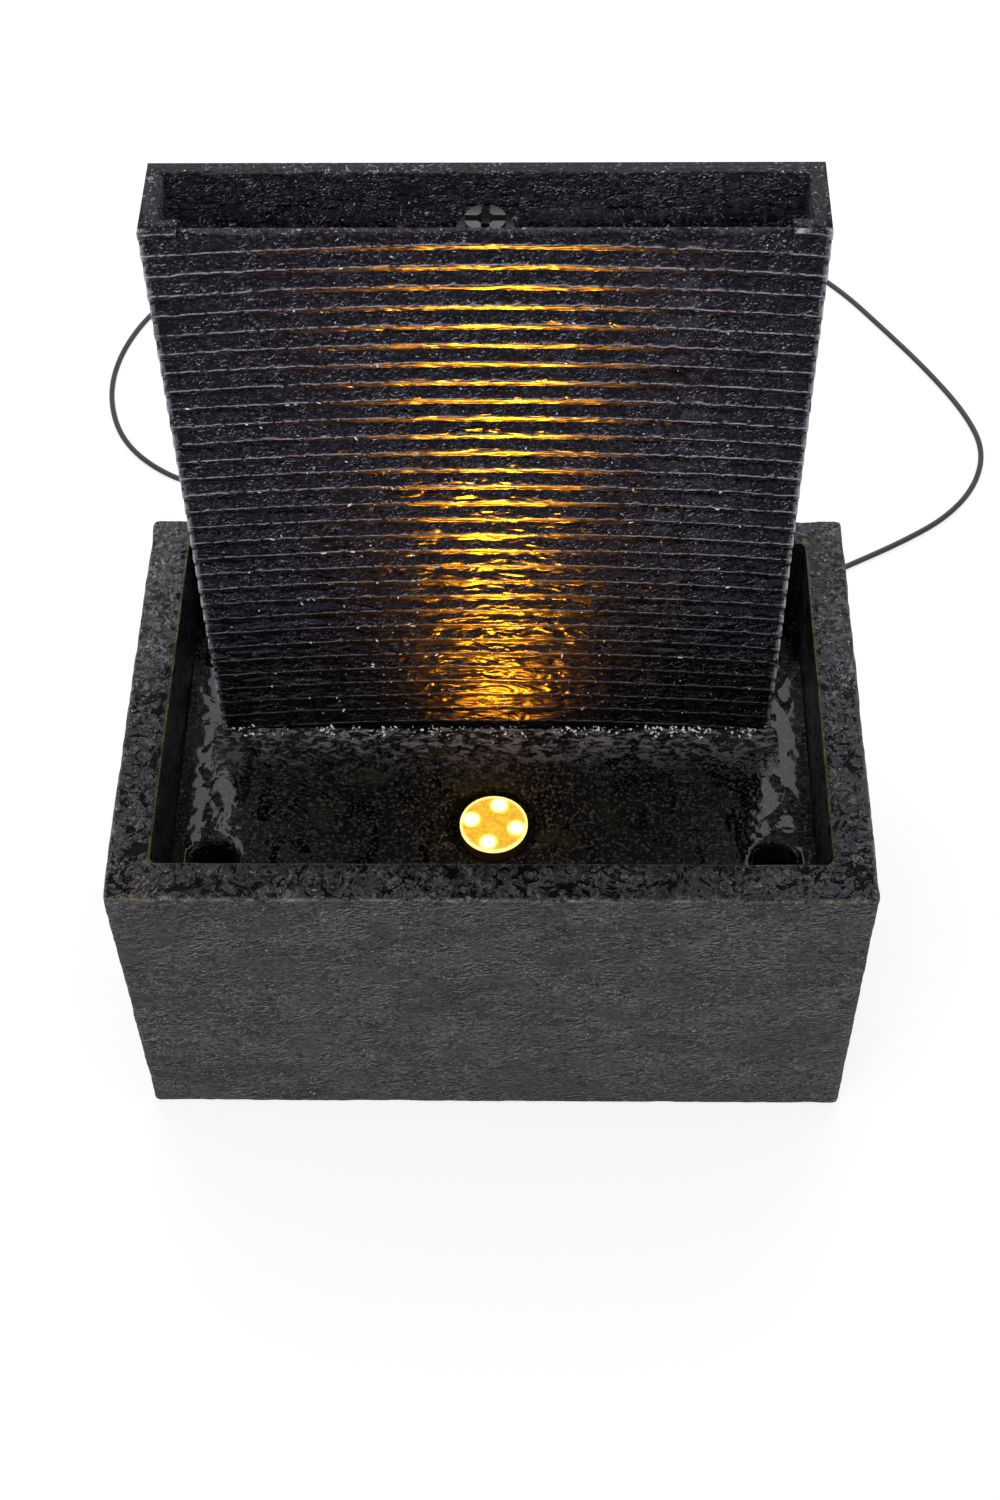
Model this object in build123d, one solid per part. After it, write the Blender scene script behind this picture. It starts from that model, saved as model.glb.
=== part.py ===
from build123d import *
import os
from math import asin, atan2, cos, degrees, pi, radians, sin, tan

# Garden fountain: a ridged water wall stands in a cast basin, and a pump under the tray lifts the water.
# Sizes are in millimetres. The front faces -Y, +Z is up, and the basin stands centred on the origin.

# Basin, a thick-walled cast box
BASIN_WIDTH = 500.0
BASIN_DEPTH = 332.0
BASIN_HEIGHT = 267.0
RIM_SIDE = 28.0
RIM_FRONT = 30.0
RIM_BACK = 22.0
BASIN_FLOOR = 22.0
FOOT_BAND = 36.0
FOOT_RECESS = 4.0
CORNER_RADIUS = 5.0
BOTTOM_RADIUS = 4.5
RIM_RADIUS = 2.0
CAVITY_RADIUS = 5.0
POST_SIDE = 34.0
POST_RADIUS = 10.0

# Tray, the lift-out wet floor that rests on the basin's corner posts
TRAY_DROP = 70.0
TRAY_THICKNESS = 20.0
TRAY_GAP = 0.6
TRAY_RIB_DEPTH = 12.0
TRAY_RIB_WIDTH = 10.0
TRAY_RIB_INSET = 6.0
DRAIN_HOLE = 30.0
DRAIN_SIDE_MARGIN = 29.0
DRAIN_FRONT_MARGIN = 50.0
DRAIN_EDGE = 2.5
RISER_HOLE = 36.0

# Water wall, a hollow cast slab with a trough on top
WALL_WIDTH = 392.0
WALL_DEPTH = 64.0
WALL_REAR_GAP = 51.0
WALL_SEAT = 5.0
WALL_SEAT_GAP = 0.5
WALL_SHELL = 10.0
RIDGE_COUNT = 30
RIDGE_PITCH = 15.0
RIDGE_DEPTH = 4.0
RIDGE_RETURN = 6.0
RIDGE_LIP_RADIUS = 1.6
RIDGE_ARCH = 10.0
TROUGH_DEPTH = 26.0
SPILL_DROP = 6.0
SPILL_MARGIN = 22.0

# Back cover of the wall and its screws
COVER_THICKNESS = 6.0
COVER_LAP = 5.0
COVER_GAP = 0.4
COVER_ROWS = 3
BOSS_DIAMETER = 14.0
BOSS_SIDE_MARGIN = 4.0
BOSS_END_MARGIN = 28.0
SCREW_DIAMETER = 3.5
SCREW_LENGTH = 22.0
SCREW_HEAD = 7.6
SCREW_HEAD_DEPTH = 2.4
SCREW_GAP = 0.05
SCREW_HOLE_GAP = 0.4

# Spout in the trough, the hose that feeds it and its clips
SPOUT_BORE = 10.0
SPOUT_STEM = 20.0
SPOUT_FLANGE = 34.0
SPOUT_FLANGE_HEIGHT = 4.0
SPOUT_COLLAR = 24.0
SPOUT_COLLAR_HEIGHT = 8.0
SPOUT_SLOTS = 4
SPOUT_SLOT_WIDTH = 5.0
SPOUT_STEM_GAP = 0.3
NUT_HEIGHT = 10.0
NUT_ACROSS_FLATS = 32.0
STEM_BELOW_NUT = 4.0
HOSE_BORE = 14.0
HOSE_WALL = 2.5
HOSE_FIT = 0.2
BARB_LENGTH = 26.0
BARB_TEETH = 4
BARB_BITE = 0.7
CLIP_BAND = 1.0
CLIP_HEIGHT = 9.0
CLIP_GAP = 0.15
CLIP_END_MARGIN = 5.0
CLIP_LUG = 6.0

# Pump, lying along Y on the basin's floor
PUMP_WIDTH = 50.0
PUMP_HEIGHT = 46.0
PUMP_CORNER = 9.0
MOTOR_LENGTH = 44.0
SPIGOT_LENGTH = 4.0
STRAINER_LENGTH = 40.0
STRAINER_WALL = 2.2
STRAINER_FIT = 0.2
INTAKE_SLOTS = 7
INTAKE_SLOT_WIDTH = 3.0
INTAKE_PITCH = 5.6
INTAKE_MARGIN = 8.0
VOLUTE_DIAMETER = 38.0
VOLUTE_LENGTH = 20.0
VOLUTE_WALL = 3.0
INLET_DIAMETER = 15.0
SPIDER_SPOKES = 3
SPIDER_SPOKE = 2.0
SPIDER_BOSS = 7.5
OUTLET_BORE = 9.6
OUTLET_OFFSET = 10.0
OUTLET_NECK = 17.0
NECK_GAP = 0.6
NECK_ABOVE_PUMP = 5.0
IMPELLER_DIAMETER = 25.0
IMPELLER_WIDTH = 10.0
IMPELLER_HUB = 9.0
IMPELLER_BLADES = 6
BLADE_THICKNESS = 1.6
BLADE_SWEEP = 40.0
IMPELLER_SIDE_GAP = 3.0
MAGNET_DIAMETER = 14.0
MAGNET_LENGTH = 32.0
MAGNET_GAP = 1.0
SHAFT_DIAMETER = 3.0
SHAFT_RUNNING_GAP = 0.05
BUSH_DIAMETER = 5.0
BUSH_LENGTH = 3.0
BUSH_GAP = 0.05
CUP_HEIGHT = 9.0
CUP_DIAMETER = 18.0
CUP_STEM = 4.0
CUP_STEM_LENGTH = 4.0
CUP_STEM_GAP = 0.1
CUP_INSET = 8.0
DIAL_DIAMETER = 26.0
DIAL_THICKNESS = 3.0
DIAL_GRIP = 5.0
DIAL_SPINDLE = 6.0
DIAL_HEAD = 9.0
DIAL_RUNNING_GAP = 0.1
DIAL_FACE_GAP = 0.2

# Power lead: held inside the basin, then free on the floor
CORD_DIAMETER = 5.0
CORD_GAP = 0.1
LEAD_BEND = 35.0
CORD_EXIT_X = 90.0
CORD_BELOW_TRAY = 27.0
BUSH_FLANGE = 21.0
BUSH_FLANGE_DEPTH = 3.0
BUSH_SLEEVE = 13.0
BUSH_SEAT_GAP = 0.2
GLAND_LENGTH = 22.0
GLAND_BASE = 12.0
GLAND_TIP = 8.0
GLAND_SPIGOT = 9.0
GLAND_SPIGOT_LENGTH = 4.0
GLAND_BACK_MARGIN = 12.0
GLAND_RISE = 6.0
GLAND_GAP = 0.1
BEND_SHARE = 0.45

# Drain bung, low in the back wall
DRAIN_BUNG_X = -150.0
DRAIN_BUNG_Z = 42.0
BUNG_STEM = 16.0
BUNG_HEAD = 24.0
BUNG_HEAD_DEPTH = 4.0
BUNG_GRIP_DEPTH = 3.0
BUNG_GRIP_WIDTH = 4.0
BUNG_FIT = 0.08
BUNG_HEAD_GAP = 2.0

# Light, set in a round recess of the tray
LIGHT_RECESS = 66.0
LIGHT_RECESS_DEPTH = 13.0
LIGHT_SETBACK = 81.0
LIGHT_DIAMETER = 47.0
LIGHT_WALL = 2.5
LIGHT_STEM = 36.0
LIGHT_STEM_GAP = 0.5
LIGHT_SEAL_THICKNESS = 1.5
LIGHT_SEAL_WIDTH = 4.0
LENS_THICKNESS = 2.0
LENS_SKIRT = 3.0
LENS_SKIRT_WALL = 1.6
LENS_GAP = 0.1
BOARD_THICKNESS = 1.6
BOARD_GAP = 0.3
LAMP_COUNT = 4
LAMP_CIRCLE = 32.0
LAMP_DIAMETER = 5.0
LAMP_HEIGHT = 4.0
LAMP_TURN = 77.0
LOCK_RING_DIAMETER = 54.0
LOCK_RING_HEIGHT = 8.0
LOCK_RING_GAP = 0.2
LOCK_RING_NOTCHES = 6
LOCK_RING_NOTCH = 8.0
STEM_BELOW_RING = 4.0
LIGHT_GLAND_LENGTH = 12.0
LIGHT_GLAND_DIAMETER = 10.0
LIGHT_GLAND_TIP = 7.0
LIGHT_LEAD_DIAMETER = 4.0
SOCKET_DIAMETER = 14.0
SOCKET_HEIGHT = 10.0
SOCKET_DEPTH = 9.0
SOCKET_SIDE_MARGIN = 11.0
SOCKET_BACK_MARGIN = 18.0
LIGHT_PLUG_PIN = 8.0
LIGHT_PLUG_GAP = 0.2
LIGHT_PLUG_BODY = 13.0
LIGHT_PLUG_LENGTH = 18.0

# Mains plug on the far end of the cord
PLUG_RELIEF_LENGTH = 24.0
PLUG_RELIEF_TIP = 7.4
PLUG_RELIEF_BASE = 11.0
PLUG_LENGTH = 34.0
PLUG_SHOULDER = 12.0
PLUG_WIDTH = 34.0
PLUG_TAIL_WIDTH = 15.0
PLUG_HEIGHT = 14.0
PLUG_EDGE = 2.5
PIN_DIAMETER = 4.0
PIN_LENGTH = 19.0
PIN_SPACING = 18.6
PIN_ROOT_LENGTH = 8.0
PIN_ROOT = 3.2
PIN_GAP = 0.02
PIN_TIP_RADIUS = 1.2

# Route of the free cord, chosen by hand, as steps in X and Y from where it leaves the back wall.
# It falls through these shares of its exit's height, then lies on the floor in one wide loop.
CORD_FLOOR_Z = 2.6
CORD_FALL = [
    (0, 0, 1),
    (0, 24, 1),
    (1, 48, 0.94),
    (3, 66, 0.8),
    (6, 76, 0.6),
    (12, 83, 0.38),
    (24, 92, 0.18),
    (47, 104, 0.06),
    (78, 120, 0.02),
]
CORD_LOOP = [
    (118, 142),
    (163, 168),
    (210, 194),
    (256, 220),
    (298, 249),
    (328, 287),
    (341, 333),
    (329, 380),
    (300, 436),
    (265, 491),
    (227, 548),
    (178, 596),
    (115, 627),
    (45, 641),
    (-28, 646),
    (-102, 645),
    (-176, 640),
    (-248, 629),
    (-318, 607),
    (-381, 571),
    (-429, 520),
    (-454, 460),
    (-458, 401),
    (-439, 342),
    (-395, 300),
    (-342, 281),
]
CORD_END = [
    (-298, 278),
    (-256, 284),
]

# Places worked out from the sizes above
CAVITY_LEFT = -BASIN_WIDTH / 2 + RIM_SIDE
CAVITY_RIGHT = BASIN_WIDTH / 2 - RIM_SIDE
CAVITY_FRONT = -BASIN_DEPTH / 2 + RIM_FRONT
CAVITY_BACK = BASIN_DEPTH / 2 - RIM_BACK
BACK_FACE = BASIN_DEPTH / 2
TRAY_TOP = BASIN_HEIGHT - TRAY_DROP
TRAY_BOTTOM = TRAY_TOP - TRAY_THICKNESS
CORD_EXIT_Z = TRAY_BOTTOM - CORD_BELOW_TRAY
CORD_ROUTE = [(CORD_EXIT_X + x, BACK_FACE + y, share * CORD_EXIT_Z) for x, y, share in CORD_FALL]
CORD_ROUTE += [(CORD_EXIT_X + x, BACK_FACE + y, CORD_FLOOR_Z) for x, y in CORD_LOOP]
CORD_ROUTE += [(CORD_EXIT_X + x, BACK_FACE + y, PLUG_HEIGHT / 2) for x, y in CORD_END]
WALL_BACK = CAVITY_BACK - WALL_REAR_GAP
WALL_FRONT = WALL_BACK - WALL_DEPTH
WALL_MIDDLE = (WALL_FRONT + WALL_BACK) / 2
WALL_BOTTOM = TRAY_TOP - WALL_SEAT
WALL_TOP = TRAY_TOP + RIDGE_COUNT * RIDGE_PITCH
WALL_ROOT = WALL_FRONT + RIDGE_DEPTH
SHELL_FRONT = WALL_ROOT + WALL_SHELL
SHELL_SIDE = WALL_WIDTH / 2 - WALL_SHELL
SHELL_BOTTOM = WALL_BOTTOM + WALL_SHELL
TROUGH_BOTTOM = WALL_TOP - TROUGH_DEPTH
SHELL_TOP = TROUGH_BOTTOM - WALL_SHELL
COVER_FRONT = WALL_BACK - COVER_THICKNESS
BOSS_X = SHELL_SIDE - BOSS_SIDE_MARGIN
BOSS_LOW = SHELL_BOTTOM + BOSS_END_MARGIN
BOSS_HIGH = SHELL_TOP - BOSS_END_MARGIN
BOSS_STEP = (BOSS_HIGH - BOSS_LOW) / (COVER_ROWS - 1)
SCREW_PLACES = [
    (side * BOSS_X, BOSS_LOW + row * BOSS_STEP)
    for side in (-1, 1)
    for row in range(COVER_ROWS)
]
HOSE_OUTSIDE = HOSE_BORE + 2 * HOSE_WALL
PUMP_X = -OUTLET_OFFSET
PUMP_BOTTOM = BASIN_FLOOR + CUP_HEIGHT
PUMP_AXIS = PUMP_BOTTOM + PUMP_HEIGHT / 2
PUMP_TOP = PUMP_BOTTOM + PUMP_HEIGHT
VOLUTE_FRONT = WALL_MIDDLE - VOLUTE_LENGTH / 2
VOLUTE_BACK = WALL_MIDDLE + VOLUTE_LENGTH / 2
MOTOR_FRONT = VOLUTE_BACK + SPIGOT_LENGTH
MOTOR_BACK = MOTOR_FRONT + MOTOR_LENGTH
STRAINER_FRONT = MOTOR_FRONT - STRAINER_LENGTH
NECK_TOP = PUMP_TOP + NECK_ABOVE_PUMP
IMPELLER_FRONT = VOLUTE_FRONT + VOLUTE_WALL + IMPELLER_SIDE_GAP
IMPELLER_BACK = IMPELLER_FRONT + IMPELLER_WIDTH
MAGNET_BACK = IMPELLER_BACK + MAGNET_LENGTH
WELL_BACK = MAGNET_BACK + IMPELLER_SIDE_GAP
STEM_BOTTOM = SHELL_TOP - NUT_HEIGHT - STEM_BELOW_NUT
HOSE_BOTTOM = NECK_TOP + HOSE_FIT
HOSE_TOP = STEM_BOTTOM - HOSE_FIT
DRAIN_X = CAVITY_RIGHT - DRAIN_SIDE_MARGIN
DRAIN_Y = CAVITY_FRONT + DRAIN_FRONT_MARGIN
LIGHT_Y = CAVITY_FRONT + LIGHT_SETBACK
RECESS_FLOOR = TRAY_TOP - LIGHT_RECESS_DEPTH
LIGHT_BOTTOM = RECESS_FLOOR + LIGHT_SEAL_THICKNESS
LIGHT_RIM = TRAY_TOP - LENS_THICKNESS
BOARD_BOTTOM = LIGHT_BOTTOM + LIGHT_WALL
BOARD_TOP = BOARD_BOTTOM + BOARD_THICKNESS
LIGHT_BORE = LIGHT_DIAMETER - 2 * LIGHT_WALL
LIGHT_STEM_BOTTOM = TRAY_BOTTOM - LOCK_RING_HEIGHT - STEM_BELOW_RING
LIGHT_GLAND_BOTTOM = LIGHT_STEM_BOTTOM - LIGHT_GLAND_LENGTH
SOCKET_X = PUMP_X - PUMP_WIDTH / 2 + SOCKET_SIDE_MARGIN
SOCKET_Y = MOTOR_BACK - SOCKET_BACK_MARGIN
SOCKET_TOP = PUMP_TOP + SOCKET_HEIGHT
LIGHT_PLUG_TOP = SOCKET_TOP + LIGHT_PLUG_LENGTH
LIGHT_LEAD_FALL = (LIGHT_GLAND_BOTTOM - LIGHT_PLUG_TOP) / 2
GLAND_X = PUMP_X + PUMP_WIDTH / 2
GLAND_Y = MOTOR_BACK - GLAND_BACK_MARGIN
GLAND_Z = PUMP_AXIS + GLAND_RISE


def span_box(x_span, y_span, z_span):
    """A box between two planes on each axis."""
    spans = (x_span, y_span, z_span)
    middle = [(low + high) / 2 for low, high in spans]
    return Pos(*middle) * Box(*[high - low for low, high in spans])


def along_z(sketch, low, high, x=0.0, y=0.0):
    """Extrude a sketch drawn in X and Y between two heights."""
    return extrude(Pos(x, y, low) * sketch, amount=high - low)


def along_y(sketch, front, back, x=0.0, z=0.0):
    """Extrude a sketch drawn in X and Z between two planes across Y."""
    plane = Plane(origin=(x, back, z), x_dir=(1, 0, 0), z_dir=(0, -1, 0))
    return extrude(plane * sketch, amount=back - front)


def along_x(sketch, left, right, y=0.0, z=0.0):
    """Extrude a sketch drawn in Y and Z between two planes across X."""
    plane = Plane(origin=(left, y, z), x_dir=(0, 1, 0), z_dir=(1, 0, 0))
    return extrude(plane * sketch, amount=right - left)


def turned(outline):
    """Revolve a closed outline of (radius, height) points about the Z axis."""
    return revolve(Plane.XZ * make_face(Polyline(*outline, close=True)), Axis.Z)


def disc(diameter):
    return Circle(diameter / 2)


def ring(outside, inside):
    return Circle(outside / 2) - Circle(inside / 2)


def tube_along(path, diameter):
    """A round solid along a path of straight runs and tangent arcs."""
    section = Plane(origin=path @ 0, z_dir=path % 0) * disc(diameter)
    return sweep(section, path=path)


def bend_radii(route):
    """Each bend as large as the shorter of its two runs allows."""
    radii = []
    for before, corner, after in zip(route, route[1:], route[2:]):
        arriving = Vector(*corner) - Vector(*before)
        leaving = Vector(*after) - Vector(*corner)
        half_turn = radians(arriving.get_angle(leaving)) / 2
        shorter = min(arriving.length, leaving.length)
        radii.append(BEND_SHARE * shorter / tan(half_turn))
    return radii


def hose_barb(low, high):
    """Outline of a hose barb's outside, as (radius, height) points from low to high, biting upwards."""
    outside = HOSE_BORE / 2 - HOSE_FIT
    tooth = (high - low) / BARB_TEETH
    points = []
    for index in range(BARB_TEETH):
        points.append((outside, low + index * tooth))
        points.append((outside - BARB_BITE, low + (index + 1) * tooth))
    return points


def basin():
    body = span_box((-BASIN_WIDTH / 2, BASIN_WIDTH / 2), (-BASIN_DEPTH / 2, BACK_FACE), (0, BASIN_HEIGHT))
    body = fillet(body.edges().filter_by(Axis.Z), CORNER_RADIUS)
    body = fillet(body.faces().sort_by(Axis.Z)[0].edges(), BOTTOM_RADIUS)
    cavity = span_box(
        (CAVITY_LEFT, CAVITY_RIGHT), (CAVITY_FRONT, CAVITY_BACK), (BASIN_FLOOR, BASIN_HEIGHT)
    )
    body -= fillet(cavity.edges().filter_by(Axis.Z), CAVITY_RADIUS)
    body = fillet(body.faces().sort_by(Axis.Z)[-1].edges(), RIM_RADIUS)
    for post_x, post_y in corner_post_places():
        post = span_box(post_x, post_y, (BASIN_FLOOR, TRAY_BOTTOM))
        body += fillet(post.edges().filter_by(Axis.Z), POST_RADIUS)
    body -= span_box(
        (-BASIN_WIDTH / 2 + FOOT_BAND, BASIN_WIDTH / 2 - FOOT_BAND),
        (-BASIN_DEPTH / 2 + FOOT_BAND, BACK_FACE - FOOT_BAND),
        (0, FOOT_RECESS),
    )
    sleeve = BUSH_SLEEVE + 2 * BUSH_SEAT_GAP
    flange = BUSH_FLANGE + 2 * BUSH_SEAT_GAP
    body -= along_y(disc(sleeve), CAVITY_BACK, BACK_FACE, CORD_EXIT_X, CORD_EXIT_Z)
    body -= along_y(disc(flange), BACK_FACE - BUSH_FLANGE_DEPTH, BACK_FACE, CORD_EXIT_X, CORD_EXIT_Z)
    bung_seat = BACK_FACE - BUNG_HEAD_DEPTH - BUNG_GRIP_DEPTH
    bung_recess = BUNG_HEAD + 2 * BUNG_HEAD_GAP
    body -= along_y(disc(BUNG_STEM + 2 * BUNG_FIT), CAVITY_BACK, BACK_FACE, DRAIN_BUNG_X, DRAIN_BUNG_Z)
    body -= along_y(disc(bung_recess), bung_seat, BACK_FACE, DRAIN_BUNG_X, DRAIN_BUNG_Z)
    return body


def corner_post_places():
    """Spans in X and Y of the four posts, each sunk into the walls of its corner by its own rounding."""
    left = (CAVITY_LEFT - POST_RADIUS, CAVITY_LEFT + POST_SIDE)
    right = (CAVITY_RIGHT - POST_SIDE, CAVITY_RIGHT + POST_RADIUS)
    front = (CAVITY_FRONT - POST_RADIUS, CAVITY_FRONT + POST_SIDE)
    back = (CAVITY_BACK - POST_SIDE, CAVITY_BACK + POST_RADIUS)
    return [(x_span, y_span) for x_span in (left, right) for y_span in (front, back)]


def drain_plug():
    stem_front = CAVITY_BACK
    head_back = BACK_FACE - BUNG_GRIP_DEPTH
    head_front = head_back - BUNG_HEAD_DEPTH
    bung = along_y(disc(BUNG_STEM), stem_front, head_front, DRAIN_BUNG_X, DRAIN_BUNG_Z)
    bung += along_y(disc(BUNG_HEAD), head_front, head_back, DRAIN_BUNG_X, DRAIN_BUNG_Z)
    grip = Rectangle(BUNG_STEM, BUNG_GRIP_WIDTH)
    bung += along_y(grip, head_back, BACK_FACE, DRAIN_BUNG_X, DRAIN_BUNG_Z)
    return bung


def cord_bush():
    bush = along_y(disc(BUSH_SLEEVE), CAVITY_BACK, BACK_FACE, CORD_EXIT_X, CORD_EXIT_Z)
    bush += along_y(disc(BUSH_FLANGE), BACK_FACE - BUSH_FLANGE_DEPTH, BACK_FACE, CORD_EXIT_X, CORD_EXIT_Z)
    bore = disc(CORD_DIAMETER + 2 * CORD_GAP)
    return bush - along_y(bore, CAVITY_BACK, BACK_FACE, CORD_EXIT_X, CORD_EXIT_Z)


def tray():
    plate = span_box(
        (CAVITY_LEFT + TRAY_GAP, CAVITY_RIGHT - TRAY_GAP),
        (CAVITY_FRONT + TRAY_GAP, CAVITY_BACK - TRAY_GAP),
        (TRAY_BOTTOM, TRAY_TOP),
    )
    plate = fillet(plate.edges().filter_by(Axis.Z), CAVITY_RADIUS)
    rib_half = TRAY_RIB_WIDTH / 2
    for rib_y in (WALL_FRONT + rib_half, WALL_BACK - rib_half):
        plate += span_box(
            (CAVITY_LEFT + TRAY_RIB_INSET, CAVITY_RIGHT - TRAY_RIB_INSET),
            (rib_y - rib_half, rib_y + rib_half),
            (TRAY_BOTTOM - TRAY_RIB_DEPTH, TRAY_BOTTOM),
        )
    seat_side = WALL_WIDTH / 2 + WALL_SEAT_GAP
    plate -= span_box(
        (-seat_side, seat_side),
        (WALL_FRONT - WALL_SEAT_GAP, WALL_BACK + WALL_SEAT_GAP),
        (WALL_BOTTOM, TRAY_TOP),
    )
    plate -= along_z(disc(RISER_HOLE), TRAY_BOTTOM, TRAY_TOP, 0, WALL_MIDDLE)
    plate -= along_z(disc(LIGHT_RECESS), RECESS_FLOOR, TRAY_TOP, 0, LIGHT_Y)
    plate -= along_z(disc(LIGHT_STEM + 2 * LIGHT_STEM_GAP), TRAY_BOTTOM, TRAY_TOP, 0, LIGHT_Y)
    for side in (-1, 1):
        hole = turned(
            [
                (0, TRAY_BOTTOM),
                (DRAIN_HOLE / 2, TRAY_BOTTOM),
                (DRAIN_HOLE / 2, TRAY_TOP - DRAIN_EDGE),
                (DRAIN_HOLE / 2 + DRAIN_EDGE, TRAY_TOP),
                (0, TRAY_TOP),
            ]
        )
        plate -= Pos(side * DRAIN_X, DRAIN_Y, 0) * hole
    return plate


def ridged_profile():
    """Side view of the wall in Y and Z: each course leans out as it falls to a lip, then steps back in.
    A spare course above and below leaves room for the arch."""
    lowest = TRAY_TOP - RIDGE_PITCH
    highest = WALL_TOP + RIDGE_PITCH
    points = [(WALL_BACK, highest), (WALL_BACK, lowest)]
    for course in range(RIDGE_COUNT + 2):
        low = lowest + course * RIDGE_PITCH
        points.append((WALL_ROOT, low))
        points.append((WALL_FRONT, low + RIDGE_RETURN))
    points.append((WALL_ROOT, highest))
    profile = make_face(Polyline(*points, close=True))
    lips = profile.vertices().filter_by(lambda vertex: abs(vertex.X - WALL_FRONT) < RIDGE_LIP_RADIUS)
    return fillet(lips, RIDGE_LIP_RADIUS)


def ridged_block():
    """The wall before it is hollowed: its courses swing about one far axis, so that every ridge arches."""
    half_width = WALL_WIDTH / 2
    swing = (half_width**2 + RIDGE_ARCH**2) / (2 * RIDGE_ARCH)
    axis_height = (WALL_TOP + WALL_BOTTOM) / 2 - swing
    axis = Axis((0, 0, axis_height), (0, 1, 0))
    half_angle = degrees(asin(half_width / (TRAY_TOP - 2 * RIDGE_PITCH - axis_height)))
    courses = revolve(Plane.YZ * ridged_profile(), axis, revolution_arc=2 * half_angle)
    courses = courses.rotate(axis, -half_angle)
    return courses & span_box((-half_width, half_width), (WALL_FRONT, WALL_BACK), (WALL_BOTTOM, WALL_TOP))


def water_wall():
    wall = ridged_block()
    wall -= span_box((-SHELL_SIDE, SHELL_SIDE), (SHELL_FRONT, WALL_BACK), (SHELL_BOTTOM, SHELL_TOP))
    wall -= span_box(
        (-SHELL_SIDE - COVER_LAP, SHELL_SIDE + COVER_LAP),
        (COVER_FRONT, WALL_BACK),
        (SHELL_BOTTOM - COVER_LAP, SHELL_TOP + COVER_LAP),
    )
    wall -= span_box(
        (-SHELL_SIDE, SHELL_SIDE), (SHELL_FRONT, WALL_BACK - WALL_SHELL), (TROUGH_BOTTOM, WALL_TOP)
    )
    spill_side = WALL_WIDTH / 2 - SPILL_MARGIN
    wall -= span_box((-spill_side, spill_side), (WALL_FRONT, SHELL_FRONT), (WALL_TOP - SPILL_DROP, WALL_TOP))
    wall -= along_z(disc(RISER_HOLE), WALL_BOTTOM, SHELL_BOTTOM, 0, WALL_MIDDLE)
    stem_hole = disc(SPOUT_STEM + 2 * SPOUT_STEM_GAP)
    wall -= along_z(stem_hole, SHELL_TOP, TROUGH_BOTTOM, 0, WALL_MIDDLE)
    pilot = disc(SCREW_DIAMETER + 2 * SCREW_GAP)
    for boss_x, boss_z in SCREW_PLACES:
        wall += along_y(disc(BOSS_DIAMETER), SHELL_FRONT, COVER_FRONT, boss_x, boss_z)
        wall -= along_y(pilot, WALL_BACK - SCREW_LENGTH, COVER_FRONT, boss_x, boss_z)
    return wall


def wall_back_cover():
    side = SHELL_SIDE + COVER_LAP - COVER_GAP
    cover = span_box(
        (-side, side),
        (COVER_FRONT, WALL_BACK),
        (SHELL_BOTTOM - COVER_LAP + COVER_GAP, SHELL_TOP + COVER_LAP - COVER_GAP),
    )
    hole = disc(SCREW_DIAMETER + 2 * SCREW_HOLE_GAP)
    head_recess = disc(SCREW_HEAD + 2 * SCREW_HOLE_GAP)
    for place_x, place_z in SCREW_PLACES:
        cover -= along_y(hole, COVER_FRONT, WALL_BACK, place_x, place_z)
        cover -= along_y(head_recess, WALL_BACK - SCREW_HEAD_DEPTH, WALL_BACK, place_x, place_z)
    return cover


def cover_screws():
    screws = []
    for place_x, place_z in SCREW_PLACES:
        shank = along_y(
            disc(SCREW_DIAMETER), WALL_BACK - SCREW_LENGTH, WALL_BACK - SCREW_HEAD_DEPTH, place_x, place_z
        )
        head = along_y(disc(SCREW_HEAD), WALL_BACK - SCREW_HEAD_DEPTH, WALL_BACK, place_x, place_z)
        screws.append(shank + head)
    return Compound(screws)


def spout():
    stem = SPOUT_STEM / 2
    flange_top = TROUGH_BOTTOM + SPOUT_FLANGE_HEIGHT
    collar_top = flange_top + SPOUT_COLLAR_HEIGHT
    barb_bottom = STEM_BOTTOM - BARB_LENGTH
    barb = [(radius, STEM_BOTTOM + barb_bottom - height) for radius, height in hose_barb(barb_bottom, STEM_BOTTOM)]
    outline = [(SPOUT_BORE / 2, STEM_BOTTOM)] + barb + [(SPOUT_BORE / 2, barb_bottom)]
    fitting = turned(outline)
    fitting += turned(
        [
            (SPOUT_BORE / 2, STEM_BOTTOM),
            (stem, STEM_BOTTOM),
            (stem, TROUGH_BOTTOM),
            (SPOUT_FLANGE / 2, TROUGH_BOTTOM),
            (SPOUT_FLANGE / 2, flange_top),
            (SPOUT_COLLAR / 2, flange_top),
            (SPOUT_COLLAR / 2, collar_top),
            (SPOUT_BORE / 2, collar_top),
        ]
    )
    slot_span = (-SPOUT_SLOT_WIDTH / 2, SPOUT_SLOT_WIDTH / 2)
    for index in range(SPOUT_SLOTS):
        slot = span_box((0, SPOUT_COLLAR), slot_span, (flange_top, collar_top))
        fitting -= Rot(0, 0, index * 360 / SPOUT_SLOTS) * slot
    return Pos(0, WALL_MIDDLE, 0) * fitting


def spout_nut():
    hexagon = RegularPolygon(NUT_ACROSS_FLATS / 2, 6, major_radius=False)
    nut = hexagon - disc(SPOUT_STEM + 2 * SPOUT_STEM_GAP)
    return along_z(nut, SHELL_TOP - NUT_HEIGHT, SHELL_TOP, 0, WALL_MIDDLE)


def riser_hose():
    return along_z(ring(HOSE_OUTSIDE, HOSE_BORE), HOSE_BOTTOM, HOSE_TOP, 0, WALL_MIDDLE)


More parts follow.
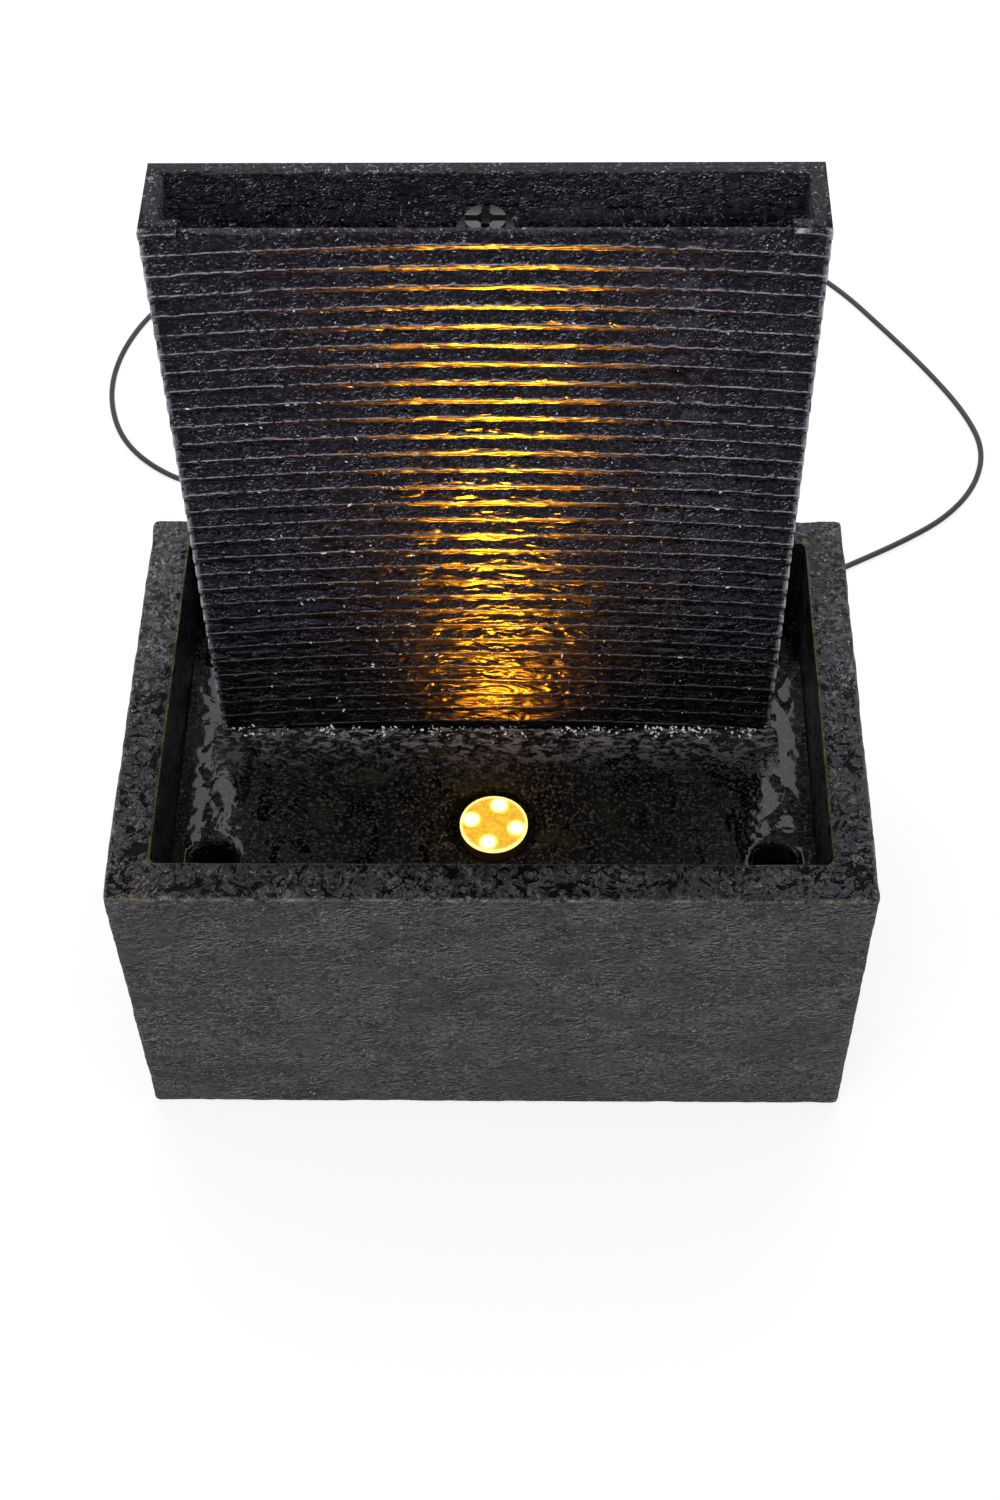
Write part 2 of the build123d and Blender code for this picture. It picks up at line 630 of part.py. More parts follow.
def hose_clip(low):
    """A band round the hose with a lug for its screw."""
    inside = HOSE_OUTSIDE + 2 * CLIP_GAP
    outside = inside + 2 * CLIP_BAND
    lug = Pos(outside / 2, 0) * Rectangle(CLIP_LUG, CLIP_LUG)
    band = disc(outside) + lug - disc(inside)
    return along_z(band, low, low + CLIP_HEIGHT, 0, WALL_MIDDLE)


def pump_section(inset=0.0):
    """Rounded cross-section of the pump in X and Z, drawn in by an inset."""
    return RectangleRounded(PUMP_WIDTH - 2 * inset, PUMP_HEIGHT - 2 * inset, PUMP_CORNER - inset)


def suction_cup_places():
    near = MOTOR_FRONT + CUP_INSET + CUP_STEM
    far = MOTOR_BACK - CUP_INSET - CUP_STEM
    side = PUMP_WIDTH / 2 - CUP_INSET - CUP_STEM
    return [(PUMP_X + sign * side, y) for sign in (-1, 1) for y in (near, far)]


def pump_body():
    body = along_y(pump_section(), MOTOR_FRONT, MOTOR_BACK, PUMP_X, PUMP_AXIS)
    spigot = pump_section(STRAINER_WALL + STRAINER_FIT)
    body += along_y(spigot, VOLUTE_BACK, MOTOR_FRONT, PUMP_X, PUMP_AXIS)
    well = disc(MAGNET_DIAMETER + 2 * MAGNET_GAP)
    body -= along_y(well, VOLUTE_BACK, WELL_BACK, PUMP_X, PUMP_AXIS)
    bush_seat = disc(BUSH_DIAMETER + 2 * BUSH_GAP)
    body -= along_y(bush_seat, WELL_BACK, WELL_BACK + BUSH_LENGTH, PUMP_X, PUMP_AXIS)
    body += along_z(disc(SOCKET_DIAMETER), PUMP_TOP, SOCKET_TOP, SOCKET_X, SOCKET_Y)
    socket = disc(LIGHT_PLUG_PIN + 2 * LIGHT_PLUG_GAP)
    body -= along_z(socket, SOCKET_TOP - SOCKET_DEPTH, SOCKET_TOP, SOCKET_X, SOCKET_Y)
    gland_seat = disc(GLAND_SPIGOT + 2 * GLAND_GAP)
    body -= along_x(gland_seat, GLAND_X - GLAND_SPIGOT_LENGTH, GLAND_X, GLAND_Y, GLAND_Z)
    stem_hole = disc(CUP_STEM + 2 * CUP_STEM_GAP)
    for cup_x, cup_y in suction_cup_places():
        body -= along_z(stem_hole, PUMP_BOTTOM, PUMP_BOTTOM + CUP_STEM_LENGTH, cup_x, cup_y)
    return body


def suction_cups():
    foot = CUP_DIAMETER / 2
    lip = 0.9 * foot
    neck_height = 0.45 * CUP_HEIGHT
    cup = turned(
        [
            (0, neck_height),
            (lip, 0),
            (foot, 0),
            (0.6 * foot, 0.7 * CUP_HEIGHT),
            (0.6 * foot, CUP_HEIGHT),
            (CUP_STEM / 2, CUP_HEIGHT),
            (CUP_STEM / 2, CUP_HEIGHT + CUP_STEM_LENGTH),
            (0, CUP_HEIGHT + CUP_STEM_LENGTH),
        ]
    )
    return Compound([Pos(x, y, BASIN_FLOOR) * cup for x, y in suction_cup_places()])


def pump_volute():
    shell = along_y(disc(VOLUTE_DIAMETER), VOLUTE_FRONT, VOLUTE_BACK, PUMP_X, PUMP_AXIS)
    shell += along_z(disc(OUTLET_NECK), PUMP_AXIS, NECK_TOP, 0, WALL_MIDDLE)
    barb_top = NECK_TOP + BARB_LENGTH
    barb = [(0, NECK_TOP)] + hose_barb(NECK_TOP, barb_top) + [(0, barb_top)]
    shell += Pos(0, WALL_MIDDLE, 0) * turned(barb)
    chamber = disc(VOLUTE_DIAMETER - 2 * VOLUTE_WALL)
    shell -= along_y(chamber, VOLUTE_FRONT + VOLUTE_WALL, VOLUTE_BACK, PUMP_X, PUMP_AXIS)
    shell -= along_z(disc(OUTLET_BORE), PUMP_AXIS, barb_top, 0, WALL_MIDDLE)
    inlet = disc(INLET_DIAMETER)
    for index in range(SPIDER_SPOKES):
        spoke = Pos(INLET_DIAMETER / 4, 0) * Rectangle(INLET_DIAMETER / 2, SPIDER_SPOKE)
        inlet -= Rot(0, 0, 90 + index * 360 / SPIDER_SPOKES) * spoke
    inlet -= disc(SPIDER_BOSS)
    shell -= along_y(inlet, VOLUTE_FRONT, VOLUTE_FRONT + VOLUTE_WALL, PUMP_X, PUMP_AXIS)
    bush_seat = disc(BUSH_DIAMETER + 2 * BUSH_GAP)
    return shell - along_y(bush_seat, VOLUTE_FRONT, VOLUTE_FRONT + VOLUTE_WALL, PUMP_X, PUMP_AXIS)


def impeller_blade():
    """One swept-back blade, from the hub to the impeller's rim."""
    inner = IMPELLER_HUB / 2 - BLADE_THICKNESS / 2
    outer = IMPELLER_DIAMETER / 2 - BLADE_THICKNESS / 2
    middle = (inner + outer) / 2
    sweep_angle = radians(BLADE_SWEEP)
    arc = ThreePointArc(
        (inner, 0),
        (middle * cos(sweep_angle / 3), middle * sin(sweep_angle / 3)),
        (outer * cos(sweep_angle), outer * sin(sweep_angle)),
    )
    return trace(arc, BLADE_THICKNESS)


def pump_rotor():
    hub = disc(IMPELLER_HUB)
    for index in range(IMPELLER_BLADES):
        hub += Rot(0, 0, index * 360 / IMPELLER_BLADES) * impeller_blade()
    rotor = along_y(hub, IMPELLER_FRONT, IMPELLER_BACK, PUMP_X, PUMP_AXIS)
    rotor += along_y(disc(MAGNET_DIAMETER), IMPELLER_BACK, MAGNET_BACK, PUMP_X, PUMP_AXIS)
    bore = disc(SHAFT_DIAMETER + 2 * SHAFT_RUNNING_GAP)
    return rotor - along_y(bore, IMPELLER_FRONT, MAGNET_BACK, PUMP_X, PUMP_AXIS)


def rotor_shaft():
    return along_y(disc(SHAFT_DIAMETER), VOLUTE_FRONT, WELL_BACK + BUSH_LENGTH, PUMP_X, PUMP_AXIS)


def shaft_bushes():
    wall = ring(BUSH_DIAMETER, SHAFT_DIAMETER + 2 * BUSH_GAP)
    starts = (VOLUTE_FRONT, WELL_BACK)
    return Compound([along_y(wall, start, start + BUSH_LENGTH, PUMP_X, PUMP_AXIS) for start in starts])


def pump_strainer():
    cage = along_y(pump_section(), STRAINER_FRONT, MOTOR_FRONT, PUMP_X, PUMP_AXIS)
    inside = pump_section(STRAINER_WALL)
    cage -= along_y(inside, STRAINER_FRONT + STRAINER_WALL, MOTOR_FRONT, PUMP_X, PUMP_AXIS)
    neck_half = OUTLET_NECK / 2 + NECK_GAP
    cage -= span_box((-neck_half, neck_half), (WALL_MIDDLE, MOTOR_FRONT), (PUMP_AXIS, PUMP_TOP))
    cage -= along_z(disc(2 * neck_half), PUMP_AXIS, PUMP_TOP, 0, WALL_MIDDLE)
    slot_height = PUMP_HEIGHT - 2 * INTAKE_MARGIN
    slot = SlotOverall(slot_height, INTAKE_SLOT_WIDTH, rotation=90)
    middle = (INTAKE_SLOTS - 1) / 2
    slot_back = STRAINER_FRONT + STRAINER_WALL
    for index in range(INTAKE_SLOTS):
        slot_x = PUMP_X + (index - middle) * INTAKE_PITCH
        cage -= along_y(slot, STRAINER_FRONT, slot_back, slot_x, PUMP_AXIS)
    hub = DIAL_SPINDLE + 2 * STRAINER_WALL
    cage += along_y(disc(hub), STRAINER_FRONT, slot_back, PUMP_X, PUMP_AXIS)
    spindle = disc(DIAL_SPINDLE + 2 * DIAL_RUNNING_GAP)
    return cage - along_y(spindle, STRAINER_FRONT, slot_back, PUMP_X, PUMP_AXIS)


def flow_dial():
    disc_back = STRAINER_FRONT - DIAL_FACE_GAP
    disc_front = disc_back - DIAL_THICKNESS
    head_front = STRAINER_FRONT + STRAINER_WALL + DIAL_FACE_GAP
    dial = along_y(disc(DIAL_DIAMETER), disc_front, disc_back, PUMP_X, PUMP_AXIS)
    grip = Rectangle(DIAL_DIAMETER - 2 * DIAL_THICKNESS, DIAL_GRIP)
    dial += along_y(grip, disc_front - DIAL_GRIP, disc_front, PUMP_X, PUMP_AXIS)
    dial += along_y(disc(DIAL_SPINDLE), disc_back, head_front, PUMP_X, PUMP_AXIS)
    dial += along_y(disc(DIAL_HEAD), head_front, head_front + DIAL_THICKNESS, PUMP_X, PUMP_AXIS)
    return dial


def pump_gland():
    bore = CORD_DIAMETER / 2 + CORD_GAP
    gland = turned(
        [
            (bore, -GLAND_SPIGOT_LENGTH),
            (GLAND_SPIGOT / 2, -GLAND_SPIGOT_LENGTH),
            (GLAND_SPIGOT / 2, 0),
            (GLAND_BASE / 2, 0),
            (GLAND_TIP / 2, GLAND_LENGTH),
            (bore, GLAND_LENGTH),
        ]
    )
    return Pos(GLAND_X, GLAND_Y, GLAND_Z) * Rot(0, 90, 0) * gland


def pump_lead():
    route = [
        (GLAND_X - GLAND_SPIGOT_LENGTH, GLAND_Y, GLAND_Z),
        (CORD_EXIT_X, GLAND_Y, GLAND_Z),
        (CORD_EXIT_X, GLAND_Y, CORD_EXIT_Z),
        (CORD_EXIT_X, BACK_FACE, CORD_EXIT_Z),
    ]
    return tube_along(FilletPolyline(*route, radius=LEAD_BEND), CORD_DIAMETER)


def power_cord():
    radii = bend_radii(CORD_ROUTE)
    path = FilletPolyline(*CORD_ROUTE, radius=radii)
    cord = tube_along(path, CORD_DIAMETER)
    section = pi * CORD_DIAMETER**2 / 4
    print("cord bend radii:", [round(radius) for radius in radii])
    print(f"cord length {path.length:.1f}, volume {cord.volume:.0f}, section times length {section * path.length:.0f}")
    return cord


def plug_place():
    """Where the cord ends, turned to the cord's last direction."""
    before, end = CORD_ROUTE[-2:]
    heading = degrees(atan2(end[1] - before[1], end[0] - before[0]))
    return Location(end, (0, 0, heading))


def plug_body():
    relief = Rot(0, 90, 0) * turned(
        [
            (0, 0),
            (PLUG_RELIEF_TIP / 2, 0),
            (PLUG_RELIEF_BASE / 2, PLUG_RELIEF_LENGTH),
            (0, PLUG_RELIEF_LENGTH),
        ]
    )
    back = PLUG_RELIEF_LENGTH
    front = back + PLUG_LENGTH
    outline = make_face(
        Polyline(
            (back, -PLUG_TAIL_WIDTH / 2),
            (back + PLUG_SHOULDER, -PLUG_WIDTH / 2),
            (front, -PLUG_WIDTH / 2),
            (front, PLUG_WIDTH / 2),
            (back + PLUG_SHOULDER, PLUG_WIDTH / 2),
            (back, PLUG_TAIL_WIDTH / 2),
            close=True,
        )
    )
    body = along_z(outline, -PLUG_HEIGHT / 2, PLUG_HEIGHT / 2)
    body = fillet(body.edges().filter_by(Axis.Z), PLUG_EDGE)
    body = fillet(body.faces().sort_by(Axis.Z)[-1].edges(), PLUG_EDGE / 2)
    body = fillet(body.faces().sort_by(Axis.Z)[0].edges(), PLUG_EDGE / 2)
    hole = disc(PIN_ROOT + 2 * PIN_GAP)
    for side in (-1, 1):
        body -= along_x(hole, front - PIN_ROOT_LENGTH, front, side * PIN_SPACING / 2)
    return plug_place() * (body + relief)


def plug_pins():
    front = PLUG_RELIEF_LENGTH + PLUG_LENGTH
    pins = []
    for side in (-1, 1):
        pin_y = side * PIN_SPACING / 2
        pin = along_x(disc(PIN_DIAMETER), front, front + PIN_LENGTH, pin_y)
        pin = fillet(pin.edges().sort_by(Axis.X)[-1], PIN_TIP_RADIUS)
        pins.append(pin + along_x(disc(PIN_ROOT), front - PIN_ROOT_LENGTH, front, pin_y))
    return plug_place() * Compound(pins)


def led_housing():
    rim = LIGHT_DIAMETER / 2
    stem = LIGHT_STEM / 2
    lead_bore = LIGHT_LEAD_DIAMETER / 2 + CORD_GAP
    return Pos(0, LIGHT_Y, 0) * turned(
        [
            (lead_bore, LIGHT_GLAND_BOTTOM),
            (LIGHT_GLAND_TIP / 2, LIGHT_GLAND_BOTTOM),
            (LIGHT_GLAND_DIAMETER / 2, LIGHT_STEM_BOTTOM),
            (stem, LIGHT_STEM_BOTTOM),
            (stem, LIGHT_BOTTOM),
            (rim, LIGHT_BOTTOM),
            (rim, LIGHT_RIM),
            (LIGHT_BORE / 2, LIGHT_RIM),
            (LIGHT_BORE / 2, BOARD_BOTTOM),
            (lead_bore, BOARD_BOTTOM),
        ]
    )


def led_seal():
    inside = LIGHT_DIAMETER - 2 * LIGHT_SEAL_WIDTH
    return along_z(ring(LIGHT_DIAMETER, inside), RECESS_FLOOR, LIGHT_BOTTOM, 0, LIGHT_Y)


def led_board():
    board = disc(LIGHT_BORE - 2 * BOARD_GAP)
    return along_z(board, BOARD_BOTTOM, BOARD_TOP, 0, LIGHT_Y)


def led_domes():
    radius = LAMP_DIAMETER / 2
    straight = LAMP_HEIGHT - radius
    lamp = along_z(disc(LAMP_DIAMETER), BOARD_TOP, BOARD_TOP + straight)
    lamp += Pos(0, 0, BOARD_TOP + straight) * (Sphere(radius) - span_box((-radius, radius), (-radius, radius), (-radius, 0)))
    lamps = []
    for index in range(LAMP_COUNT):
        angle = radians(LAMP_TURN + index * 360 / LAMP_COUNT)
        reach = LAMP_CIRCLE / 2
        lamps.append(Pos(reach * cos(angle), LIGHT_Y + reach * sin(angle), 0) * lamp)
    return Compound(lamps)


def led_lens():
    lens = along_z(disc(LIGHT_DIAMETER), LIGHT_RIM, TRAY_TOP, 0, LIGHT_Y)
    skirt_outside = LIGHT_BORE - 2 * LENS_GAP
    skirt = ring(skirt_outside, skirt_outside - 2 * LENS_SKIRT_WALL)
    return lens + along_z(skirt, LIGHT_RIM - LENS_SKIRT, LIGHT_RIM, 0, LIGHT_Y)


def led_lock_ring():
    nut = ring(LOCK_RING_DIAMETER, LIGHT_STEM + 2 * LOCK_RING_GAP)
    for index in range(LOCK_RING_NOTCHES):
        notch = Pos(LOCK_RING_DIAMETER / 2, 0) * disc(LOCK_RING_NOTCH)
        nut -= Rot(0, 0, index * 360 / LOCK_RING_NOTCHES) * notch
    return along_z(nut, TRAY_BOTTOM - LOCK_RING_HEIGHT, TRAY_BOTTOM, 0, LIGHT_Y)


def led_lead():
    level = LIGHT_PLUG_TOP + LIGHT_LEAD_FALL
    bend = 2 * BEND_SHARE * LIGHT_LEAD_FALL
    route = [
        (0, LIGHT_Y, BOARD_BOTTOM),
        (0, LIGHT_Y, level),
        (SOCKET_X, SOCKET_Y, level),
        (SOCKET_X, SOCKET_Y, LIGHT_PLUG_TOP),
    ]
    return tube_along(FilletPolyline(*route, radius=bend), LIGHT_LEAD_DIAMETER)


def led_plug():
    pin_bottom = SOCKET_TOP - SOCKET_DEPTH + LIGHT_PLUG_GAP
    plug = along_z(disc(LIGHT_PLUG_PIN), pin_bottom, SOCKET_TOP, SOCKET_X, SOCKET_Y)
    return plug + along_z(disc(LIGHT_PLUG_BODY), SOCKET_TOP, LIGHT_PLUG_TOP, SOCKET_X, SOCKET_Y)


NODES = {
    "basin": basin(),
    "drain_plug": drain_plug(),
    "cord_bush": cord_bush(),
    "tray": tray(),
    "water_wall": water_wall(),
    "wall_back_cover": wall_back_cover(),
    "cover_screws": cover_screws(),
    "spout": spout(),
    "spout_nut": spout_nut(),
    "riser_hose": riser_hose(),
    "hose_clip_upper": hose_clip(HOSE_TOP - CLIP_END_MARGIN - CLIP_HEIGHT),
    "hose_clip_lower": hose_clip(HOSE_BOTTOM + CLIP_END_MARGIN),
    "pump_body": pump_body(),
    "suction_cups": suction_cups(),
    "pump_volute": pump_volute(),
    "pump_rotor": pump_rotor(),
    "rotor_shaft": rotor_shaft(),
    "shaft_bushes": shaft_bushes(),
    "pump_strainer": pump_strainer(),
    "flow_dial": flow_dial(),
    "pump_gland": pump_gland(),
    "pump_lead": pump_lead(),
    "power_cord": power_cord(),
    "plug_body": plug_body(),
    "plug_pins": plug_pins(),
    "led_housing": led_housing(),
    "led_seal": led_seal(),
    "led_board": led_board(),
    "led_domes": led_domes(),
    "led_lens": led_lens(),
    "led_lock_ring": led_lock_ring(),
    "led_lead": led_lead(),
    "led_plug": led_plug(),
}

os.makedirs("parts", exist_ok=True)
for name, solid in NODES.items():
    export_step(solid, f"parts/{name}.step")
    print(f"{name}: volume {solid.volume / 1000:.2f} cm3")
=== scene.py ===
# %% [markdown]
# # Garden fountain
# A ridged water wall stands in a cast basin. A pump under the tray lifts water to the top of the wall,
# and it runs down the ridges onto the wet tray, where four amber lamps light it from below.
#
# The CAD model could be rendered as it is, but its faces are smooth and dry. So it gives every size here,
# and this lesson adds what it lacks: a broken skin for the stone, a wet shine, drops, and the glow of the
# lamps.

# %% Load the CAD frame
import math
import random

import bpy
from mathutils import Matrix, Vector, noise


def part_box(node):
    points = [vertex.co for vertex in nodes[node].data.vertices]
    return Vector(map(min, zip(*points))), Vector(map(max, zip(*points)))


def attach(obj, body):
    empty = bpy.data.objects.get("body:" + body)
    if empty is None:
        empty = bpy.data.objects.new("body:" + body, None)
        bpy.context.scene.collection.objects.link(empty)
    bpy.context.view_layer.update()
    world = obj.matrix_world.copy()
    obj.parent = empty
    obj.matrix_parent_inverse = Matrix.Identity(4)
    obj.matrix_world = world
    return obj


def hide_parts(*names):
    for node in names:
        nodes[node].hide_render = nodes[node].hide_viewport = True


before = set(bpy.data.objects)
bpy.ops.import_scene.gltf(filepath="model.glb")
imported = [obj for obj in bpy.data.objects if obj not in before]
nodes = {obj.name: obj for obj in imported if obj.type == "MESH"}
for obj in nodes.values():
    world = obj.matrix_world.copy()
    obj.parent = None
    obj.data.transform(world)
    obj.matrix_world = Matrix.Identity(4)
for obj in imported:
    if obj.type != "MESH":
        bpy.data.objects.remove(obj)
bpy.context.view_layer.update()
MM = 0.001

# %% [markdown]
# ## Basin
# The basin is cast from a stone mix, so its faces carry short, almost level streaks, shallow pits and
# chipped edges. A bump in the finish could show the streaks, but the outline would stay as sharp as the
# CAD model's. So real points are moved. A CAD face has too few of them, and the Remesh modifier in its
# Sharp mode first lays an even skin of small quads over a copy of the node, which keeps the corners.

# %% Basin's skin
SHARP_CORNER = math.radians(50)
SKIN_OCTREE_DEPTH = 8
BASIN_CELL = 2.9 * MM


def new_piece(name, data):
    """A new object in the scene for a mesh, a curve, a light or a camera."""
    piece = bpy.data.objects.new(name, data)
    bpy.context.collection.objects.link(piece)
    return piece


def settle(piece):
    """Keep what the modifiers made as the piece's own mesh, shaded smooth but for its sharp corners."""
    made = bpy.data.meshes.new_from_object(piece.evaluated_get(bpy.context.evaluated_depsgraph_get()))
    piece.modifiers.clear()
    piece.data = made
    made.shade_smooth()
    made.set_sharp_from_angle(angle=SHARP_CORNER)


def stone_copy(name, node, cell):
    """A copy of a CAD node under a skin of quads about a cell wide."""
    piece = new_piece(name, nodes[node].data.copy())
    skin = piece.modifiers.new("even_skin", "REMESH")
    skin.mode = "SHARP"
    skin.octree_depth = SKIN_OCTREE_DEPTH
    skin.scale = max(piece.dimensions) / (cell * 2**SKIN_OCTREE_DEPTH)
    settle(piece)
    return piece


basin = stone_copy("basin_stone", "basin", BASIN_CELL)
print(f"basin: {len(basin.data.polygons)} faces in its skin")

# %% [markdown]
# Each point then moves along its normal by a height made of smooth noise. Streaks come from a noise that
# changes faster upwards than sideways, pits are the tips of another one, and chips count only near the
# outer edges. The Displace modifier could do this with a texture, but a function can also ask where the
# edges are.

# %% Streaks, pits and chips
STREAK_HEIGHT = 0.32 * MM
PIT_DEPTH = 0.9 * MM
CHIP_DEPTH = 1.5 * MM
CHIP_REACH = 4.0 * MM
basin_low, basin_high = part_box("basin")


def noise_at(place, per_metre, seed=0.0):
    """Smooth noise from -1 to 1, with about per_metre bumps in a metre along each axis."""
    x_rate, y_rate, z_rate = per_metre
    return noise.noise(Vector((place.x * x_rate + seed, place.y * y_rate, place.z * z_rate)))


def fade(distance, reach):
    """1 at no distance, and almost 0 from twice the reach on."""
    return math.exp(-((distance / reach) ** 2))


def edge_distance(place):
    """Distance from the nearest outer edge of the basin's box."""
    to_faces = [min(place[axis] - basin_low[axis], basin_high[axis] - place[axis]) for axis in range(3)]
    first, second = sorted(max(0.0, gap) for gap in to_faces)[:2]
    return math.hypot(first, second)


def basin_height(place, normal):
    streak = noise_at(place, (38, 38, 150)) + 0.6 * noise_at(place, (90, 90, 300), 5.0)
    pit = max(0.0, noise_at(place, (120, 120, 190), 9.0) - 0.42)
    large_chip = max(0.0, noise_at(place, (45, 45, 45), 3.0))
    small_chip = max(0.0, noise_at(place, (140, 140, 140), 4.0))
    chip = (large_chip + 0.4 * small_chip) * fade(edge_distance(place), CHIP_REACH)
    return STREAK_HEIGHT * (streak - 0.7) - PIT_DEPTH * pit - CHIP_DEPTH * chip


def roughen(piece, height_at):
    """Push every point along its normal by height_at(point, normal)."""
    points = [(point.co.copy(), point.normal.copy()) for point in piece.data.vertices]
    for point, (place, normal) in zip(piece.data.vertices, points):
        point.co = place + normal * height_at(place, normal)
    piece.data.update()


roughen(basin, basin_height)
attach(basin, "basin")
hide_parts("basin")
print(f"basin: {len(basin.data.vertices)} points moved")

# %% [markdown]
# The rim and the inside of the basin are wet, and moss grows along some edges. Such masks could be
# painted by hand. Here each point of the mesh gets a number from its place instead, which the finish
# reads back by its name, so the masks follow the sizes of the CAD model.

# %% Wet and mossy marks
RIM_INNER_X = 222 * MM
RIM_INNER_FRONT = -136 * MM
RIM_INNER_BACK = 144 * MM
RIM_SKIN = 2.2 * MM
RIM_WETTEST = 0.65
RIM_DRIEST = 0.1
WET_PAST_SIDES = 3 * MM
WET_PAST_FRONT = 5 * MM
WET_PAST_BACK = 4 * MM
WET_BELOW_TRAY = 4 * MM
DRY_EDGE = 3.2 * MM
DRY_FROM = 80 * MM
DRYING = 210 * MM
MOSS_REACH = 4 * MM
MOSS_DEPTH = 6 * MM
MOSS_INSET = 2 * MM
MOSS_CORNER = 40 * MM
MOSS_STRETCH = 4
TRAY_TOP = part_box("led_lens")[1].z


def wet_stone(place, normal):
    """1 inside the basin, and less on the rim, whose sides dry towards the back. The outer edges are dry."""
    if edge_distance(place) < DRY_EDGE:
        return 0.0
    within_sides = abs(place.x) < RIM_INNER_X + WET_PAST_SIDES
    within_ends = RIM_INNER_FRONT - WET_PAST_FRONT < place.y < RIM_INNER_BACK + WET_PAST_BACK
    if within_sides and within_ends and place.z > TRAY_TOP - WET_BELOW_TRAY:
        return 1.0
    if place.z > basin_high.z - RIM_SKIN:
        return min(RIM_WETTEST, max(RIM_DRIEST, (DRY_FROM - place.y) / DRYING))
    return 0.0


def mossy_edge(place, normal):
    """Moss grows on the inner edges of the rim's sides and on the front left corner."""
    if place.z <= basin_high.z - MOSS_DEPTH:
        return 0.0
    from_side = abs(abs(place.x) - RIM_INNER_X - MOSS_INSET)
    from_front = math.hypot(place.y - basin_low.y, place.z - basin_high.z)
    past_corner = max(0.0, place.x - basin_low.x - MOSS_CORNER)
    return fade(min(from_side, math.hypot(from_front, past_corner / MOSS_STRETCH)), MOSS_REACH)


def write_mark(piece, name, value_at):
    """Write value_at(point, normal) on every point of the mesh, under a name."""
    values = [value_at(point.co, point.normal) for point in piece.data.vertices]
    piece.data.attributes.new(name, "FLOAT", "POINT").data.foreach_set("value", values)


write_mark(basin, "wet", wet_stone)
write_mark(basin, "moss", mossy_edge)
print(f"basin: {len(basin.data.attributes)} attributes, with its wet and mossy marks")

# %% [markdown]
# A finish is a small graph of nodes. It could be drawn by hand in the shader editor, but as a list of
# steps it can be read, changed and repeated. These helpers place one node each and join its inputs. The
# `place` that patterns follow is in the piece's own coordinates, so they move with it.

# %% Place and join nodes
def join_inputs(tree, sockets, inputs):
    """Link each input to the step that feeds it, or set it to a plain value."""
    for name, value in inputs.items():
        if isinstance(value, bpy.types.NodeSocket):
            tree.links.new(value, sockets[name])
        else:
            sockets[name].default_value = value


def add_node(tree, kind, inputs=None, **options):
    """Add one step with its options and inputs, and hand back its outputs."""
    step = tree.nodes.new(kind)
    for option, value in options.items():
        setattr(step, option, value)
    join_inputs(tree, step.inputs, inputs or {})
    return step.outputs


def own_place(tree):
    return add_node(tree, "ShaderNodeTexCoord")["Object"]


def calculate(tree, operation, first, second=0.0):
    return add_node(tree, "ShaderNodeMath", {0: first, 1: second}, operation=operation)[0]


def both(tree, first, second):
    return calculate(tree, "MULTIPLY", first, second)


def blend_colours(tree, share, first, second):
    """The first colour where the share is 0, and the second where it is 1."""
    return add_node(tree, "ShaderNodeMix", {0: share, 6: first, 7: second}, data_type="RGBA")[2]


def new_finish(name):
    """A fresh finish and its node tree."""
    finish = bpy.data.materials.new(name)
    finish.use_nodes = True
    return finish, finish.node_tree


finish, tree = new_finish("cast_stone")
print(f"basin's finish: {len(tree.nodes)} nodes to start with")

# %% [markdown]
# Stone is never one even tone. A picture of stone would blur close up and show where it repeats. Fractal
# noise does neither, so all patterns here come from it, and `patches` turns the part of a noise between
# two levels into a mask. The first mask marks where the basin's stone is rough.

# %% Grain and masks
GRAIN_ROUGHNESS = 0.6


def grain(tree, scale, stretch=(1, 1, 1), detail=3.0, distortion=0.0, slant=0.0, lift=0.0):
    """Fractal noise over the piece, about 0 to 1, with smaller marks at a larger scale.

    A stretch over 1 makes the marks shorter along that axis. A slant tips them sideways, and a slanted
    grain can also be read at a place that lies higher by lift.
    """
    place = own_place(tree)
    if slant:
        tipped = {"Vector": place, "Rotation": (0, slant, 0), "Location": (0, 0, lift)}
        place = add_node(tree, "ShaderNodeMapping", tipped)["Vector"]
    place = add_node(tree, "ShaderNodeMapping", {"Vector": place, "Scale": stretch})["Vector"]
    settings = {
        "Vector": place,
        "Scale": scale,
        "Detail": detail,
        "Roughness": GRAIN_ROUGHNESS,
        "Distortion": distortion,
    }
    return add_node(tree, "ShaderNodeTexNoise", settings)[0]


def between(tree, value, low, high, to_low=0.0, to_high=1.0):
    """Turn a value's range low to high into another range, eased at both ends."""
    settings = {"Value": value, "From Min": low, "From Max": high, "To Min": to_low, "To Max": to_high}
    return add_node(tree, "ShaderNodeMapRange", settings, interpolation_type="SMOOTHSTEP")[0]


def patches(tree, scale, low, high, to_low=0.0, to_high=1.0, **pattern):
    """A grain with its range low to high turned into another range."""
    return between(tree, grain(tree, scale, **pattern), low, high, to_low, to_high)


rough_patches = patches(tree, 26, 0.36, 0.54, stretch=(1, 1, 1.4), detail=4)
print(f"basin's finish: {len(tree.nodes)} nodes with its rough patches")

# %% [markdown]
# The ground of the basin's stone is a calm, cloudy grey. In the rough patches it gives way to a fine
# grain of dark and pale specks. One noise could mix all these tones, but then calm and rough stone would
# look alike.

# %% Basin's ground colour
LEVEL_STREAKS = (1, 1, 1.9)
DARK_GRAIN = (0.005, 0.0045, 0.0055, 1)
PALE_GRAIN = (0.090, 0.083, 0.089, 1)
DARK_CALM = (0.041, 0.038, 0.0425, 1)
PALE_CALM = (0.070, 0.065, 0.069, 1)

